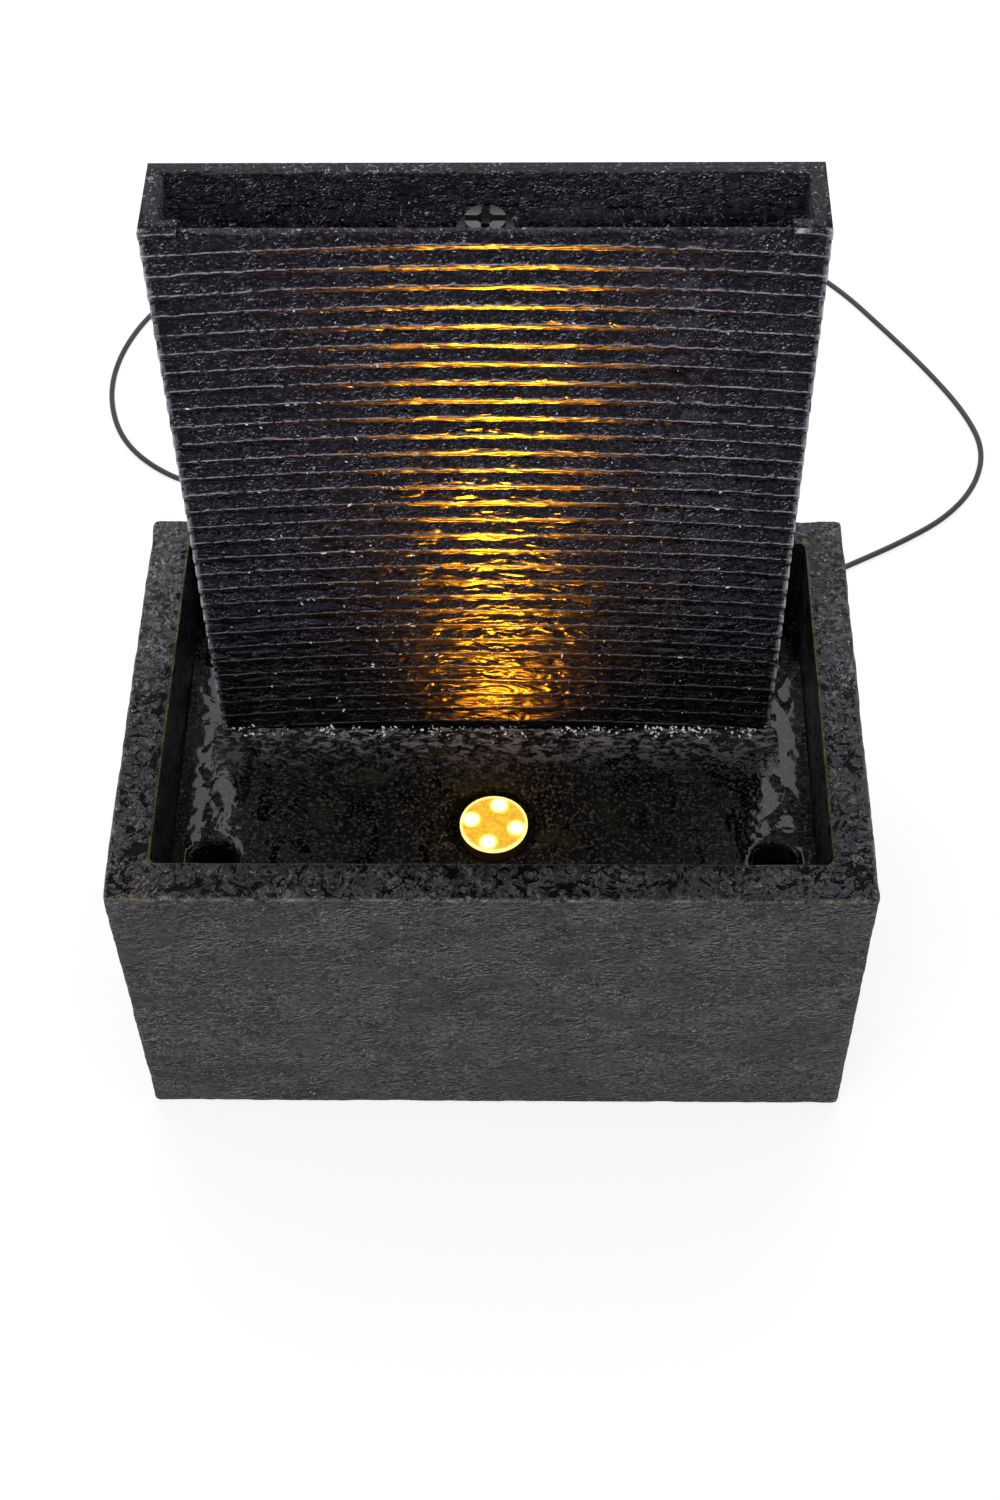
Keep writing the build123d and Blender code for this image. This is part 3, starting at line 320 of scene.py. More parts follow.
fine = grain(tree, 250, LEVEL_STREAKS, detail=1.5, distortion=0.8)
rough_stone = blend_colours(tree, between(tree, fine, 0.38, 0.66), DARK_GRAIN, PALE_GRAIN)
clouds = patches(tree, 11, 0.36, 0.64, stretch=(1, 1, 1.5))
calm_stone = blend_colours(tree, clouds, DARK_CALM, PALE_CALM)
rough_share = between(tree, rough_patches, 0, 1, 0.35, 0.85)
colour = blend_colours(tree, rough_share, calm_stone, rough_stone)
print(f"basin's finish: {len(tree.nodes)} nodes with its ground")

# %% [markdown]
# Thin flakes and short carved strokes cover the casting, far too many to model. Flakes are the thin lines
# where a noise crosses its middle. A stroke compares a slanted noise with itself a little higher up: a
# ledge that falls back on the way up gets a painted highlight, and a hollow gets painted shade. Bump alone
# stays soft here, because most of the light comes from all sides.

# %% Flakes and carved strokes
SLANT = math.radians(14)
STROKE_STEP = 1.1 * MM
FLAKE_STRETCH = (1, 1, 2.8)
FLAKE_WIDTH = 0.036
FLAKE = (0.27, 0.255, 0.268, 1)
LEDGE_PAINTED_LIGHT = (0.18, 0.17, 0.18, 1)
HOLLOW_PAINTED_SHADE = (0.006, 0.0055, 0.0065, 1)
STAIN = (0.012, 0.011, 0.0125, 1)
FLECK = (0.36, 0.34, 0.36, 1)
PIT_PAINTED_SHADE = (0.004, 0.0038, 0.0045, 1)


def veins(tree, value, width):
    """1 along the thin lines where a noise crosses its middle, fading to 0 at width on each side."""
    off_middle = calculate(tree, "ABSOLUTE", calculate(tree, "SUBTRACT", value, 0.5))
    return between(tree, off_middle, width, 0.0)


def carved_slope(tree, scale, distortion):
    """How far a slanted grain falls on the way up: over 0 on ledges, under 0 in hollows."""
    pattern = {"stretch": LEVEL_STREAKS, "detail": 2, "distortion": distortion, "slant": SLANT}
    above = grain(tree, scale, lift=STROKE_STEP, **pattern)
    return calculate(tree, "SUBTRACT", grain(tree, scale, **pattern), above)


slanted = veins(tree, grain(tree, 85, FLAKE_STRETCH, detail=2, distortion=1.6, slant=SLANT), FLAKE_WIDTH)
level = veins(tree, grain(tree, 140, FLAKE_STRETCH, detail=1.5, distortion=1.2), FLAKE_WIDTH)
short = both(tree, patches(tree, 55, 0.42, 0.56, detail=2), rough_patches)
flakes = both(tree, calculate(tree, "MAXIMUM", slanted, level), short)
colour = blend_colours(tree, flakes, colour, FLAKE)
slope = carved_slope(tree, 130, distortion=1.2)
stroke_share = patches(tree, 30, 0.42, 0.58, 0.12, 1.0, stretch=(1, 1, 1.5), detail=4)
# Painted highlight on the ledges that face up.
painted_lit_ledges = both(tree, between(tree, slope, 0.045, 0.14), stroke_share)
colour = blend_colours(tree, painted_lit_ledges, colour, LEDGE_PAINTED_LIGHT)
# Painted shade in the hollows.
painted_hollow_shade = both(tree, between(tree, slope, -0.025, -0.11), stroke_share)
colour = blend_colours(tree, painted_hollow_shade, colour, HOLLOW_PAINTED_SHADE)
stains = patches(tree, 17, 0.42, 0.62, 0.0, 0.34, stretch=(1, 1, 1.7), detail=4)
colour = blend_colours(tree, stains, colour, STAIN)
flecks = both(tree, patches(tree, 420, 0.69, 0.73, stretch=(1, 1, 1.6), detail=1), rough_patches)
colour = blend_colours(tree, flecks, colour, FLECK)
# The pits are painted near-black as shade in the hollows.
pits = patches(tree, 330, 0.36, 0.31, stretch=LEVEL_STREAKS, detail=1)
colour = blend_colours(tree, pits, colour, PIT_PAINTED_SHADE)
print(f"basin's finish: {len(tree.nodes)} nodes with its flakes and strokes")

# %% [markdown]
# The outer edges are paler, partly from wear and partly as a painted highlight, and green where moss
# grows. The Bevel node or the Geometry node's Pointiness could find edges, but both would also find every
# chip and streak. The box of the basin is known, so its edges are where two of the gaps to its faces are
# small.

# %% Worn edges
OUTER_EDGE_WIDTH = 2.4 * MM
WORN_AND_HIGHLIT_EDGE = (0.26, 0.252, 0.25, 1)
MOSSY_EDGE = (0.24, 0.22, 0.05, 1)


def calculate_vector(tree, operation, first, second=(0, 0, 0)):
    return add_node(tree, "ShaderNodeVectorMath", {0: first, 1: second}, operation=operation)


def along_axes(tree, vector):
    return add_node(tree, "ShaderNodeSeparateXYZ", {"Vector": vector})


def edge_line(tree, low, high, width):
    """1 on the edges of a box, fading to 0 at width, and 0 well outside the box."""
    from_middle = calculate_vector(tree, "SUBTRACT", own_place(tree), (low + high) / 2)[0]
    out = calculate_vector(tree, "ABSOLUTE", from_middle)[0]
    gaps = calculate_vector(tree, "SUBTRACT", (high - low) / 2, out)[0]
    x, y, z = along_axes(tree, gaps)
    smallest = calculate(tree, "MINIMUM", calculate(tree, "MINIMUM", x, y), z)
    squares = calculate_vector(tree, "MULTIPLY", gaps, gaps)[0]
    x, y, z = along_axes(tree, squares)
    largest = calculate(tree, "MAXIMUM", calculate(tree, "MAXIMUM", x, y), z)
    total = calculate(tree, "ADD", calculate(tree, "ADD", x, y), z)
    distance = calculate(tree, "SQRT", calculate(tree, "SUBTRACT", total, largest))
    return both(tree, between(tree, distance, width, 0.0), between(tree, smallest, -2 * width, -width))


def mark(tree, name):
    """A mark that was written on the mesh, point by point."""
    return add_node(tree, "ShaderNodeAttribute", attribute_name=name)["Fac"]


moss = mark(tree, "moss")
patchy = patches(tree, 60, 0.40, 0.62)
# Pale outer edges: partly wear, partly a painted highlight.
outer_edges = both(tree, edge_line(tree, basin_low, basin_high, OUTER_EDGE_WIDTH), patchy)
outer_tone = blend_colours(tree, moss, WORN_AND_HIGHLIT_EDGE, MOSSY_EDGE)
colour = blend_colours(tree, outer_edges, colour, outer_tone)
print(f"basin's finish: {len(tree.nodes)} nodes with its worn edges")

# %% [markdown]
# Water darkens the rim and stands on it in small pools, painted black as a dark reflection, with shores
# painted pale as a highlight. Pools could be thin meshes, but they are so flat that only their colour and
# shine show. All of it follows the wet mark, and wet stone is also smoother than dry stone. The inner edges
# of the opening are worn and mossy like the outer ones.

# %% Wet rim
INNER_WEAR = 2.6 * MM
SOAKED = (0, 0, 0.002, 1)
POOL_DARK_REFLECTION = (0.0015, 0.0014, 0.0018, 1)
SHORE_HIGHLIGHT = (0.12, 0.115, 0.125, 1)
WORN_INNER_EDGE = (0.13, 0.127, 0.12, 1)
MOSSY_INNER_EDGE = (0.13, 0.12, 0.03, 1)
DRY_ROUGHNESS = 0.72
WET_ROUGHNESS = 0.36

wet = mark(tree, "wet")
wettest = between(tree, wet, 0.1, 0.45)
spread = grain(tree, 68, distortion=1.6)
small_pools = patches(tree, 170, 0.59, 0.61, detail=2, distortion=1.2)
pools = both(tree, calculate(tree, "MAXIMUM", small_pools, between(tree, spread, 0.56, 0.575)), wettest)
shore_highlights = both(tree, veins(tree, calculate(tree, "SUBTRACT", spread, 0.055), 0.008), wettest)
colour = blend_colours(tree, both(tree, wet, 0.6), colour, SOAKED)
# A painted dark reflection in the pools, then a painted highlight on their shores.
colour = blend_colours(tree, pools, colour, POOL_DARK_REFLECTION)
colour = blend_colours(tree, both(tree, shore_highlights, 0.5), colour, SHORE_HIGHLIGHT)
opening_low = Vector((-RIM_INNER_X, RIM_INNER_FRONT, basin_low.z))
opening_high = Vector((RIM_INNER_X, RIM_INNER_BACK, basin_high.z))
inner_edges = edge_line(tree, opening_low, opening_high, INNER_WEAR)
inner_edges = both(tree, inner_edges, between(tree, patchy, 0, 1, 0.4, 0.9))
inner_tone = blend_colours(tree, moss, WORN_INNER_EDGE, MOSSY_INNER_EDGE)
colour = blend_colours(tree, inner_edges, colour, inner_tone)
roughness = calculate(tree, "SUBTRACT", DRY_ROUGHNESS, both(tree, wet, DRY_ROUGHNESS - WET_ROUGHNESS))
print(f"basin's finish: {len(tree.nodes)} nodes with its wet rim")

# %% [markdown]
# The shader takes the colour, the roughness and a fine relief. Moving more points could make the relief
# too, but flakes and grain are finer than the quads of the skin, so it is bump.

# %% Basin's finish
RELIEF_HEIGHT = 1.3 * MM


def bump(tree, height, distance, strength, under=None):
    """Fine relief, laid over the relief under it if there is one."""
    settings = {"Height": height, "Distance": distance, "Strength": strength}
    if under is not None:
        settings["Normal"] = under
    return add_node(tree, "ShaderNodeBump", settings)["Normal"]


def set_finish(tree, inputs):
    join_inputs(tree, tree.nodes["Principled BSDF"].inputs, inputs)


def dress(piece, finish):
    piece.data.materials.clear()
    piece.data.materials.append(finish)


relief = calculate(tree, "ADD", both(tree, flakes, 0.6), calculate(tree, "SUBTRACT", fine, pits))
relief = calculate(tree, "SUBTRACT", relief, both(tree, pools, 0.8))
set_finish(
    tree,
    {
        "Base Color": colour,
        "Roughness": roughness,
        "Specular IOR Level": between(tree, pools, 0, 1, 0.2, 0.06),
        "Specular Tint": (0.96, 0.90, 1.0, 1),
        "Normal": bump(tree, relief, distance=RELIEF_HEIGHT, strength=0.9),
    },
)
dress(basin, finish)
print(f"basin: dressed in cast stone, {len(tree.nodes)} nodes")

# %% [markdown]
# ## Tray
# The tray is the floor inside the rim: dark stone under a thin film of water. The film could be a sheet
# of its own, but it is so thin that it only changes the shine. So the stone itself is roughened a little,
# and rippled in a band along the foot of the wall, where the water lands.

# %% Tray's shape
TRAY_CELL = 2.2 * MM
RIPPLE_BAND = 26 * MM
RIPPLE_HEIGHT = 0.55 * MM
GRAIN_HEIGHT = 0.22 * MM
PAST_WALL = 4 * MM
FACING_UP = 0.7
LEANING_UP = 0.3
SIDE_FROM = 100 * MM
SIDE_WIDTH = 85 * MM
wall_low, wall_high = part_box("water_wall")


def ripple_share(place):
    """How strongly falling water stirs the film here: strong at the wall's foot, gone past the band."""
    gap = wall_low.y - place.y
    beside = abs(place.x) > wall_high.x + PAST_WALL
    if gap < 0 or beside:
        return 0.0
    return fade(gap, RIPPLE_BAND)


def tray_height(place, normal):
    """Only what faces up is roughened."""
    if normal.z < FACING_UP:
        return 0.0
    rough = noise_at(place, (210, 210, 1)) + 0.5 * noise_at(place, (90, 90, 1), 6.0)
    stirred = noise_at(place, (70, 210, 1), 8.0) + 0.5 * noise_at(place, (170, 300, 1), 2.0)
    return GRAIN_HEIGHT * (rough - 0.8) + RIPPLE_HEIGHT * stirred * ripple_share(place)


def stirred_film(place, normal):
    return ripple_share(place) if normal.z > LEANING_UP else 0.0


def side_share(place, normal):
    """0 in the middle of the tray, rising to 1 at its sides."""
    return min(1.0, max(0.0, (abs(place.x) - SIDE_FROM) / SIDE_WIDTH))


tray = stone_copy("tray_stone", "tray", TRAY_CELL)
roughen(tray, tray_height)
write_mark(tray, "stirred", stirred_film)
write_mark(tray, "side", side_share)
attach(tray, "tray")
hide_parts("tray")
print(f"tray: {len(tray.data.polygons)} faces")

# %% [markdown]
# The wet stone is almost black, with pale specks, some moss and a grey band of stirred water. Where the
# film lies calm it is smooth and mirrors the sky, most of all at the sides, and elsewhere the grain of
# the stone breaks the mirror up. One mask of calm water drives both the roughness and the bump.

# %% Tray's finish
WET_BLACK = (0.0010, 0.0010, 0.0009, 1)
WET_SPECK = (0.062, 0.059, 0.054, 1)
TRAY_MOSS = (0.016, 0.017, 0.007, 1)
STIRRED_WATER = (0.19, 0.18, 0.20, 1)
WATER_IOR = 1.33

finish, tree = new_finish("wet_tray_stone")
stirred = mark(tree, "stirred")
side = mark(tree, "side")
speckle = grain(tree, 420)
colour = blend_colours(tree, between(tree, speckle, 0.50, 0.70), WET_BLACK, WET_SPECK)
colour = blend_colours(tree, patches(tree, 24, 0.5, 0.66, 0.0, 0.5), colour, TRAY_MOSS)
churn = grain(tree, 130, (1, 1.9, 1), detail=4, distortion=0.8)
# A paler grey in the band where the water is stirred.
stirred_band = both(tree, between(tree, churn, 0.47, 0.62), stirred)
colour = blend_colours(tree, stirred_band, colour, STIRRED_WATER)
film = grain(tree, 30, (1.5, 0.7, 1), detail=4, distortion=1.2)
film = calculate(tree, "ADD", film, both(tree, both(tree, side, side), 0.14))
calm = both(tree, between(tree, film, 0.565, 0.60), calculate(tree, "SUBTRACT", 1.0, stirred))
broken_water = calculate(tree, "SUBTRACT", 1.0, calm)
ripples = veins(tree, grain(tree, 48, (1, 2.0, 1), distortion=1.6), 0.10)
ripples = both(tree, both(tree, ripples, side), broken_water)
normal = bump(tree, both(tree, speckle, broken_water), distance=1.0 * MM, strength=0.7)
normal = bump(tree, ripples, distance=0.9 * MM, strength=0.8, under=normal)
normal = bump(tree, both(tree, churn, stirred), distance=1.6 * MM, strength=0.4, under=normal)
normal = bump(tree, calm, distance=0.9 * MM, strength=0.5, under=normal)
set_finish(
    tree,
    {
        "Base Color": colour,
        "Roughness": between(tree, calm, 0, 1, 0.40, 0.07),
        "IOR": WATER_IOR,
        "Specular IOR Level": 0.4,
        "Specular Tint": (0.96, 0.90, 1.0, 1),
        "Normal": normal,
    },
)
dress(tray, finish)
print(f"tray: dressed in wet stone, {len(tree.nodes)} nodes")

# %% [markdown]
# ## Water wall
# Each of the wall's courses leans out as it falls to a lip, then steps back in, and all of them arch a
# little. On the real casting the lips waver and are chipped. Sculpting could do that by hand, and a
# remeshed skin would blur such thin lips. So a cutter is built row by row, with wavering lips, chips and
# lumps on its face, and shaves the smooth CAD front. It takes off 1 mm or so, and 2.2 mm at most. These
# functions give the shape of its face.

# %% Courses of the wall
COURSE = 15 * MM
COURSES = 30
LIP_RISE = 6 * MM
LIP_DEPTH = 4 * MM
LIP_SOFTNESS = 0.60
ARCH = 10 * MM
SHAVING = 0.25 * MM
SLOW_WAVER = 0.75 * MM
QUICK_WAVER = 0.4 * MM
LIP_CHIP = 1.1 * MM
LIP_NICK = 0.8 * MM
half_wall = wall_high.x
wall_root = wall_low.y + LIP_DEPTH
wall_middle = (wall_low.z + wall_high.z) / 2
swing = (half_wall**2 + ARCH**2) / (2 * ARCH)


def wall_noise(along, row, seed):
    """Smooth noise from -1 to 1 along the wall, unlike from row to row."""
    return noise.noise(Vector((along, row, seed)))


def arch_drop(x, z):
    """How far a course has dropped at x below its height in the middle."""
    radius = swing + z - wall_middle
    return radius - math.sqrt(radius**2 - x**2)


def waver(x, course):
    """Each lip wanders up and down a little along the wall."""
    slow = wall_noise(x * 16, course * 3.1, 1.0)
    quick = wall_noise(x * 75, course * 1.7, 5.0)
    return SLOW_WAVER * slow + QUICK_WAVER * quick


def front_depth(x, rise, course):
    """How far behind the lips the front lies, at a height above the foot of a course."""
    leaning = rise / LIP_RISE
    falling = (COURSE - rise) / (COURSE - LIP_RISE)
    reach = 0.5 * (leaning + falling - math.hypot(leaning - falling, LIP_SOFTNESS))
    near_lip = max(0.0, reach) ** 3
    chip = max(0.0, wall_noise(x * 55, course * 2.3, 9.0) - 0.1)
    nick = max(0.0, wall_noise(x * 210, course * 4.9, 3.0) - 0.2)
    level = course * COURSE + rise
    lump = wall_noise(x * 52, level * 190, 2.0) + 0.5 * wall_noise(x * 140, level * 260, 7.0)
    return LIP_DEPTH * (1 - reach) + SHAVING * (2 + lump) + near_lip * (LIP_CHIP * chip + LIP_NICK * nick)


def front_height(x, rise, course):
    """Height of that place on the front, with the arch and the waver of its course."""
    level = TRAY_TOP + course * COURSE + rise
    return level - arch_drop(x, level) + waver(x, course + rise / COURSE)


print(f"wall: {COURSES} courses of {COURSE / MM:.0f} mm, arched on a circle of {swing:.2f} m")

# %% [markdown]
# The cutter's face is a grid of points, with its rows closest together at the lips. A border round it and
# one flat face in front close it to a solid, because the Boolean modifier needs closed meshes. The CAD
# corners are welded first for the same reason.

# %% Shave the wall
COLUMN_STEP = 2.2 * MM
COURSE_ROWS = [0, 2.4, 4.4, 5.4, 6.0, 6.5, 7.0, 7.6, 9.0, 11.0, 13.0]
CUTTER_OVERLAP = 3 * MM
CUTTER_DEPTH = 10 * MM
WELD_GAP = 0.01 * MM


def wall_cutter():
    half_cutter = half_wall + CUTTER_OVERLAP
    columns = math.ceil(2 * half_cutter / COLUMN_STEP)
    across = [-half_cutter + 2 * half_cutter * step / columns for step in range(columns + 1)]
    levels = [(course, rise * MM) for course in range(-1, COURSES + 2) for rise in COURSE_ROWS]
    points = []
    for course, rise in levels:
        for x in across:
            points.append((x, wall_low.y + front_depth(x, rise, course), front_height(x, rise, course)))
    width = columns + 1
    corners = [row * width + column for row in range(len(levels) - 1) for column in range(columns)]
    faces = [(corner, corner + width, corner + width + 1, corner + 1) for corner in corners]
    top = (len(levels) - 1) * width
    border = list(range(width))
    border += [row * width + columns for row in range(1, len(levels))]
    border += [top + column for column in range(columns - 1, -1, -1)]
    border += [row * width for row in range(len(levels) - 2, 0, -1)]
    front = len(points)
    points += [(points[index][0], wall_low.y - CUTTER_DEPTH, points[index][2]) for index in border]
    count = len(border)
    for step in range(count):
        after = (step + 1) % count
        faces.append((border[step], border[after], front + after, front + step))
    faces.append(tuple(range(front, front + count)))
    mesh = bpy.data.meshes.new("wall_cutter")
    mesh.from_pydata(points, [], faces)
    return mesh


cutter = new_piece("wall_cutter", wall_cutter())
wall = new_piece("water_wall_stone", nodes["water_wall"].data.copy())
wall.modifiers.new("join_corners", "WELD").merge_threshold = WELD_GAP
shave = wall.modifiers.new("shave", "BOOLEAN")
shave.operation = "DIFFERENCE"
shave.solver = "MANIFOLD"
shave.object = cutter
settle(wall)
bpy.data.objects.remove(cutter)
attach(wall, "wall")
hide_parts("water_wall")
print(f"wall: {len(wall.data.polygons)} faces, {wall.dimensions.z / MM:.0f} mm high")

# %% [markdown]
# The wall's finish needs to know where the lips are. A thin painted highlight runs just above each one,
# the water lies smoother on the lip itself, and the two upright edges are worn and painted with a highlight.
# One smooth stripe of film lies on the right, and the lower part gets painted shade. A noise could not find
# the lips, so all of these are marks on the points, worked out from the same courses as the cutter.

# %% Marks on the wall
CREST_WIDTH = 0.29 * MM
CREST_RISE = 0.9 * MM
CREST_JAG = 0.9 * MM
LIP_WIDTH = 2.4 * MM
LIP_MIDDLE = -0.8 * MM
JAGS_ALONG = 190
JAGS_UP = 40
SIDE_EDGE_WIDTH = 1.3 * MM
FILM_X = 125 * MM
FILM_WIDTH = 38 * MM
FOOT_SHADE_HEIGHT = 260 * MM


def above_lip(place):
    """Height of a point of the front above the lip of its course."""
    level = place.z + arch_drop(place.x, place.z) - TRAY_TOP
    level -= waver(place.x, level / COURSE)
    return (level - LIP_RISE + COURSE / 2) % COURSE - COURSE / 2


def lip_mark(width, rise, jag=0.0):
    """1 along a line that lies a rise above each lip, fading over width. Only the front has lips."""

    def strength(place, normal):
        if place.y > wall_root:
            return 0.0
        jagged = jag * wall_noise(place.x * JAGS_ALONG, place.z * JAGS_UP, 6.0)
        return fade(above_lip(place) - rise - jagged, width)

    return strength


def side_edge(place, normal):
    """1 along the two upright edges of the front."""
    return fade(half_wall - abs(place.x), SIDE_EDGE_WIDTH) if place.y < wall_root else 0.0


def film_stripe(place, normal):
    return fade(place.x - FILM_X, FILM_WIDTH)


# Painted shade: 1 at the foot of the wall, fading to 0 higher up.
def shaded_foot(place, normal):
    return max(0.0, 1 - (place.z - TRAY_TOP) / FOOT_SHADE_HEIGHT)


write_mark(wall, "crest", lip_mark(CREST_WIDTH, CREST_RISE, CREST_JAG))
write_mark(wall, "lip", lip_mark(LIP_WIDTH, LIP_MIDDLE))
write_mark(wall, "side_edge", side_edge)
write_mark(wall, "film", film_stripe)
write_mark(wall, "foot_shade", shaded_foot)
print(f"wall: five marks on {len(wall.data.vertices)} points")

# %% [markdown]
# The stone is nearly black with a cool tint. It could share the basin's finish, but it is wet all over,
# so it has one of its own: the same carved strokes with their painted highlight, only finer, painted shade
# towards the foot, the painted highlights along the lips, which grow dim in that shade, and a few painted
# glints.

# %% Wall's colour
WALL_BLACK = (0.0007, 0.0006, 0.0011, 1)
WALL_GRAIN = (0.026, 0.023, 0.037, 1)
WALL_LEDGE_PAINTED_LIGHT = (0.27, 0.257, 0.32, 1)
WALL_FOOT_SHADE = (0.002, 0.0018, 0.0025, 1)
CREST_HIGHLIGHT = (0.52, 0.50, 0.56, 1)
CREST_HIGHLIGHT_IN_SHADE = (0.15, 0.14, 0.17, 1)
PAINTED_GLINT = (0.55, 0.54, 0.62, 1)
FRONT_STARTS = wall_root + 2.5 * MM
FRONT_FULL = wall_root + 1.2 * MM

finish, tree = new_finish("wet_wall_stone")
depth = along_axes(tree, own_place(tree))["Y"]
on_front = between(tree, depth, FRONT_STARTS, FRONT_FULL)
crest = both(tree, mark(tree, "crest"), on_front)
lip = both(tree, mark(tree, "lip"), on_front)
worn_and_highlit_sides = both(tree, mark(tree, "side_edge"), on_front)
foot_shade = mark(tree, "foot_shade")
speckle = grain(tree, 380)
colour = blend_colours(tree, between(tree, speckle, 0.49, 0.68), WALL_BLACK, WALL_GRAIN)
slope = carved_slope(tree, 250, distortion=1.8)
stroke_share = patches(tree, 75, 0.36, 0.62, 0.1, 1.0, detail=2)
# A painted highlight on the ledges of the finer strokes.
painted_lit_ledges = both(tree, between(tree, slope, 0.11, 0.25), stroke_share)
colour = blend_colours(tree, painted_lit_ledges, colour, WALL_LEDGE_PAINTED_LIGHT)
# Painted shade, darker towards the foot of the wall.
colour = blend_colours(tree, both(tree, foot_shade, 0.7), colour, WALL_FOOT_SHADE)
broken = patches(tree, 300, 0.32, 0.56, stretch=(1, 1, 0.5))
# A painted highlight along each lip, dimmer in the painted shade at the foot.
crest_highlight_tone = blend_colours(tree, foot_shade, CREST_HIGHLIGHT, CREST_HIGHLIGHT_IN_SHADE)
colour = blend_colours(tree, both(tree, crest, broken), colour, crest_highlight_tone)
# Painted glints: pale specks that stand for the shine of water, and along the upright edges partly wear,
# partly a painted highlight.
painted_glints = patches(tree, 330, 0.715, 0.745, stretch=(1, 1, 1.6), detail=2)
painted_glints = calculate(tree, "MAXIMUM", painted_glints, both(tree, worn_and_highlit_sides, broken))
colour = blend_colours(tree, painted_glints, colour, PAINTED_GLINT)
print(f"wall's finish: {len(tree.nodes)} nodes for its colour")

# %% [markdown]
# Water runs down the wall as a rough film with slow swells. Real running water would need a simulation,
# and it moves too fast to be seen as more than a broken shine. So two bumps stand for it, a broad swell
# and a fine speckle, both weaker on the lips and gone where the smooth stripe of film lies.

# %% Wall's shine
SWELL_HEIGHT = 5.0 * MM
SPECKLE_HEIGHT = 0.35 * MM

off_lips = calculate(tree, "SUBTRACT", 1.0, both(tree, lip, 0.7))
film = patches(tree, 45, 0.44, 0.50, stretch=(1, 1, 0.5), detail=4, distortion=0.8)
film = both(tree, film, mark(tree, "film"))
swell = calculate(tree, "SUBTRACT", grain(tree, 50, (1, 1, 3.2), detail=1.5, distortion=0.6), 0.5)
swell = both(tree, both(tree, swell, off_lips), calculate(tree, "SUBTRACT", 1.0, film))
normal = bump(tree, swell, distance=SWELL_HEIGHT, strength=0.9)
specks = calculate(tree, "SUBTRACT", speckle, 0.5)
specks = both(tree, specks, calculate(tree, "SUBTRACT", off_lips, film))
normal = bump(tree, specks, distance=SPECKLE_HEIGHT, strength=0.5, under=normal)
roughness = between(tree, off_lips, 0.3, 1.0, 0.32, 0.28)
set_finish(
    tree,
    {
        "Base Color": colour,
        "Roughness": calculate(tree, "SUBTRACT", roughness, both(tree, film, 0.1)),
        "IOR": WATER_IOR,
        "Specular IOR Level": 0.2,
        "Specular Tint": (0.93, 0.85, 1.0, 1),
        "Normal": normal,
    },
)
dress(wall, finish)
print(f"wall: dressed in wet stone, {len(tree.nodes)} nodes")

# %% [markdown]
# ## Water drops
# Loose drops lie on the rim, beads hang on the wall and white splashes stand where the water lands. A
# particle system could scatter them, but then their places would depend on the skin below. Here each kind
# is one mesh of small balls, flattened and pulled to one side.

# %% One mesh of many drops
BALL_TURNS = 10
BALL_LEVELS = 5


def ball_points(flat):
    """Points of a ball of radius 1 from its top to its bottom, flattened to a share of its height."""
    points = [Vector((0.0, 0.0, flat))]
    for level in range(1, BALL_LEVELS):
        angle = math.pi * level / BALL_LEVELS
        for turn in range(BALL_TURNS):
            spin = 2 * math.pi * turn / BALL_TURNS
            reach = math.sin(angle)
            points.append(Vector((reach * math.cos(spin), reach * math.sin(spin), math.cos(angle) * flat)))
    points.append(Vector((0.0, 0.0, -flat)))
    return points


def ball_faces(start):
    """Faces of a ball whose first point has the number start."""
    faces = []
    bottom_ring = start + 1 + (BALL_LEVELS - 2) * BALL_TURNS
    last = bottom_ring + BALL_TURNS
    for turn in range(BALL_TURNS):
        after = (turn + 1) % BALL_TURNS
        faces.append((start, start + 1 + turn, start + 1 + after))
        for upper in range(start + 1, bottom_ring, BALL_TURNS):
            lower = upper + BALL_TURNS
            faces.append((upper + turn, lower + turn, lower + after, upper + after))
        faces.append((bottom_ring + turn, last, bottom_ring + after))
    return faces


def add_drops(name, drops, body, finish):
    """One mesh of balls, each given as (centre, radius, height as a share of the radius, pull)."""
    points = []
    faces = []
    for centre, radius, flat, pull in drops:
        faces += ball_faces(len(points))
        for step in ball_points(flat):
            step = step * radius
            points.append(centre + step + pull * step.dot(pull))
    mesh = bpy.data.meshes.new(name)
    mesh.from_pydata(points, [], faces)
    mesh.shade_smooth()
    piece = new_piece(name, mesh)
    dress(piece, finish)
    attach(piece, body)
    print(f"{name}: {len(drops)} drops")


print(f"a drop has {len(ball_points(1.0))} points and {len(ball_faces(0))} faces")

# %% [markdown]
# The drops on the rim are clear water, flat where they lie. They could be placed by hand one by one, but
# a random draw looks more natural, and a fixed seed gives every render the same drops.

# %% Drops on the rim
RIM_DROPS = 260
INNER_MARGIN = 3 * MM
OUTER_MARGIN = 4 * MM
END_MARGIN = 6 * MM
BACK_MARGIN = 8 * MM
DROP_SINK = 0.4 * MM
draws = random.Random(11)


def rim_drops(count):
    """Drops on the left, right and front of the rim, in shares of one, two and three, mostly small ones."""
    drops = []
    for _ in range(count):
        side = draws.choice((-1, 1, 1, 0, 0, 0))
        if side:
            x = side * draws.uniform(RIM_INNER_X + INNER_MARGIN, basin_high.x - OUTER_MARGIN)
            y = draws.uniform(basin_low.y + END_MARGIN, basin_high.y - BACK_MARGIN)
        else:
            x = draws.uniform(basin_low.x + END_MARGIN, basin_high.x - END_MARGIN)
            y = draws.uniform(basin_low.y + OUTER_MARGIN, RIM_INNER_FRONT - INNER_MARGIN)
        radius = draws.uniform(0.7, 1.4) ** 3 * MM
        drops.append((Vector((x, y, basin_high.z - DROP_SINK)), radius, draws.uniform(0.3, 0.5), Vector()))
    return drops


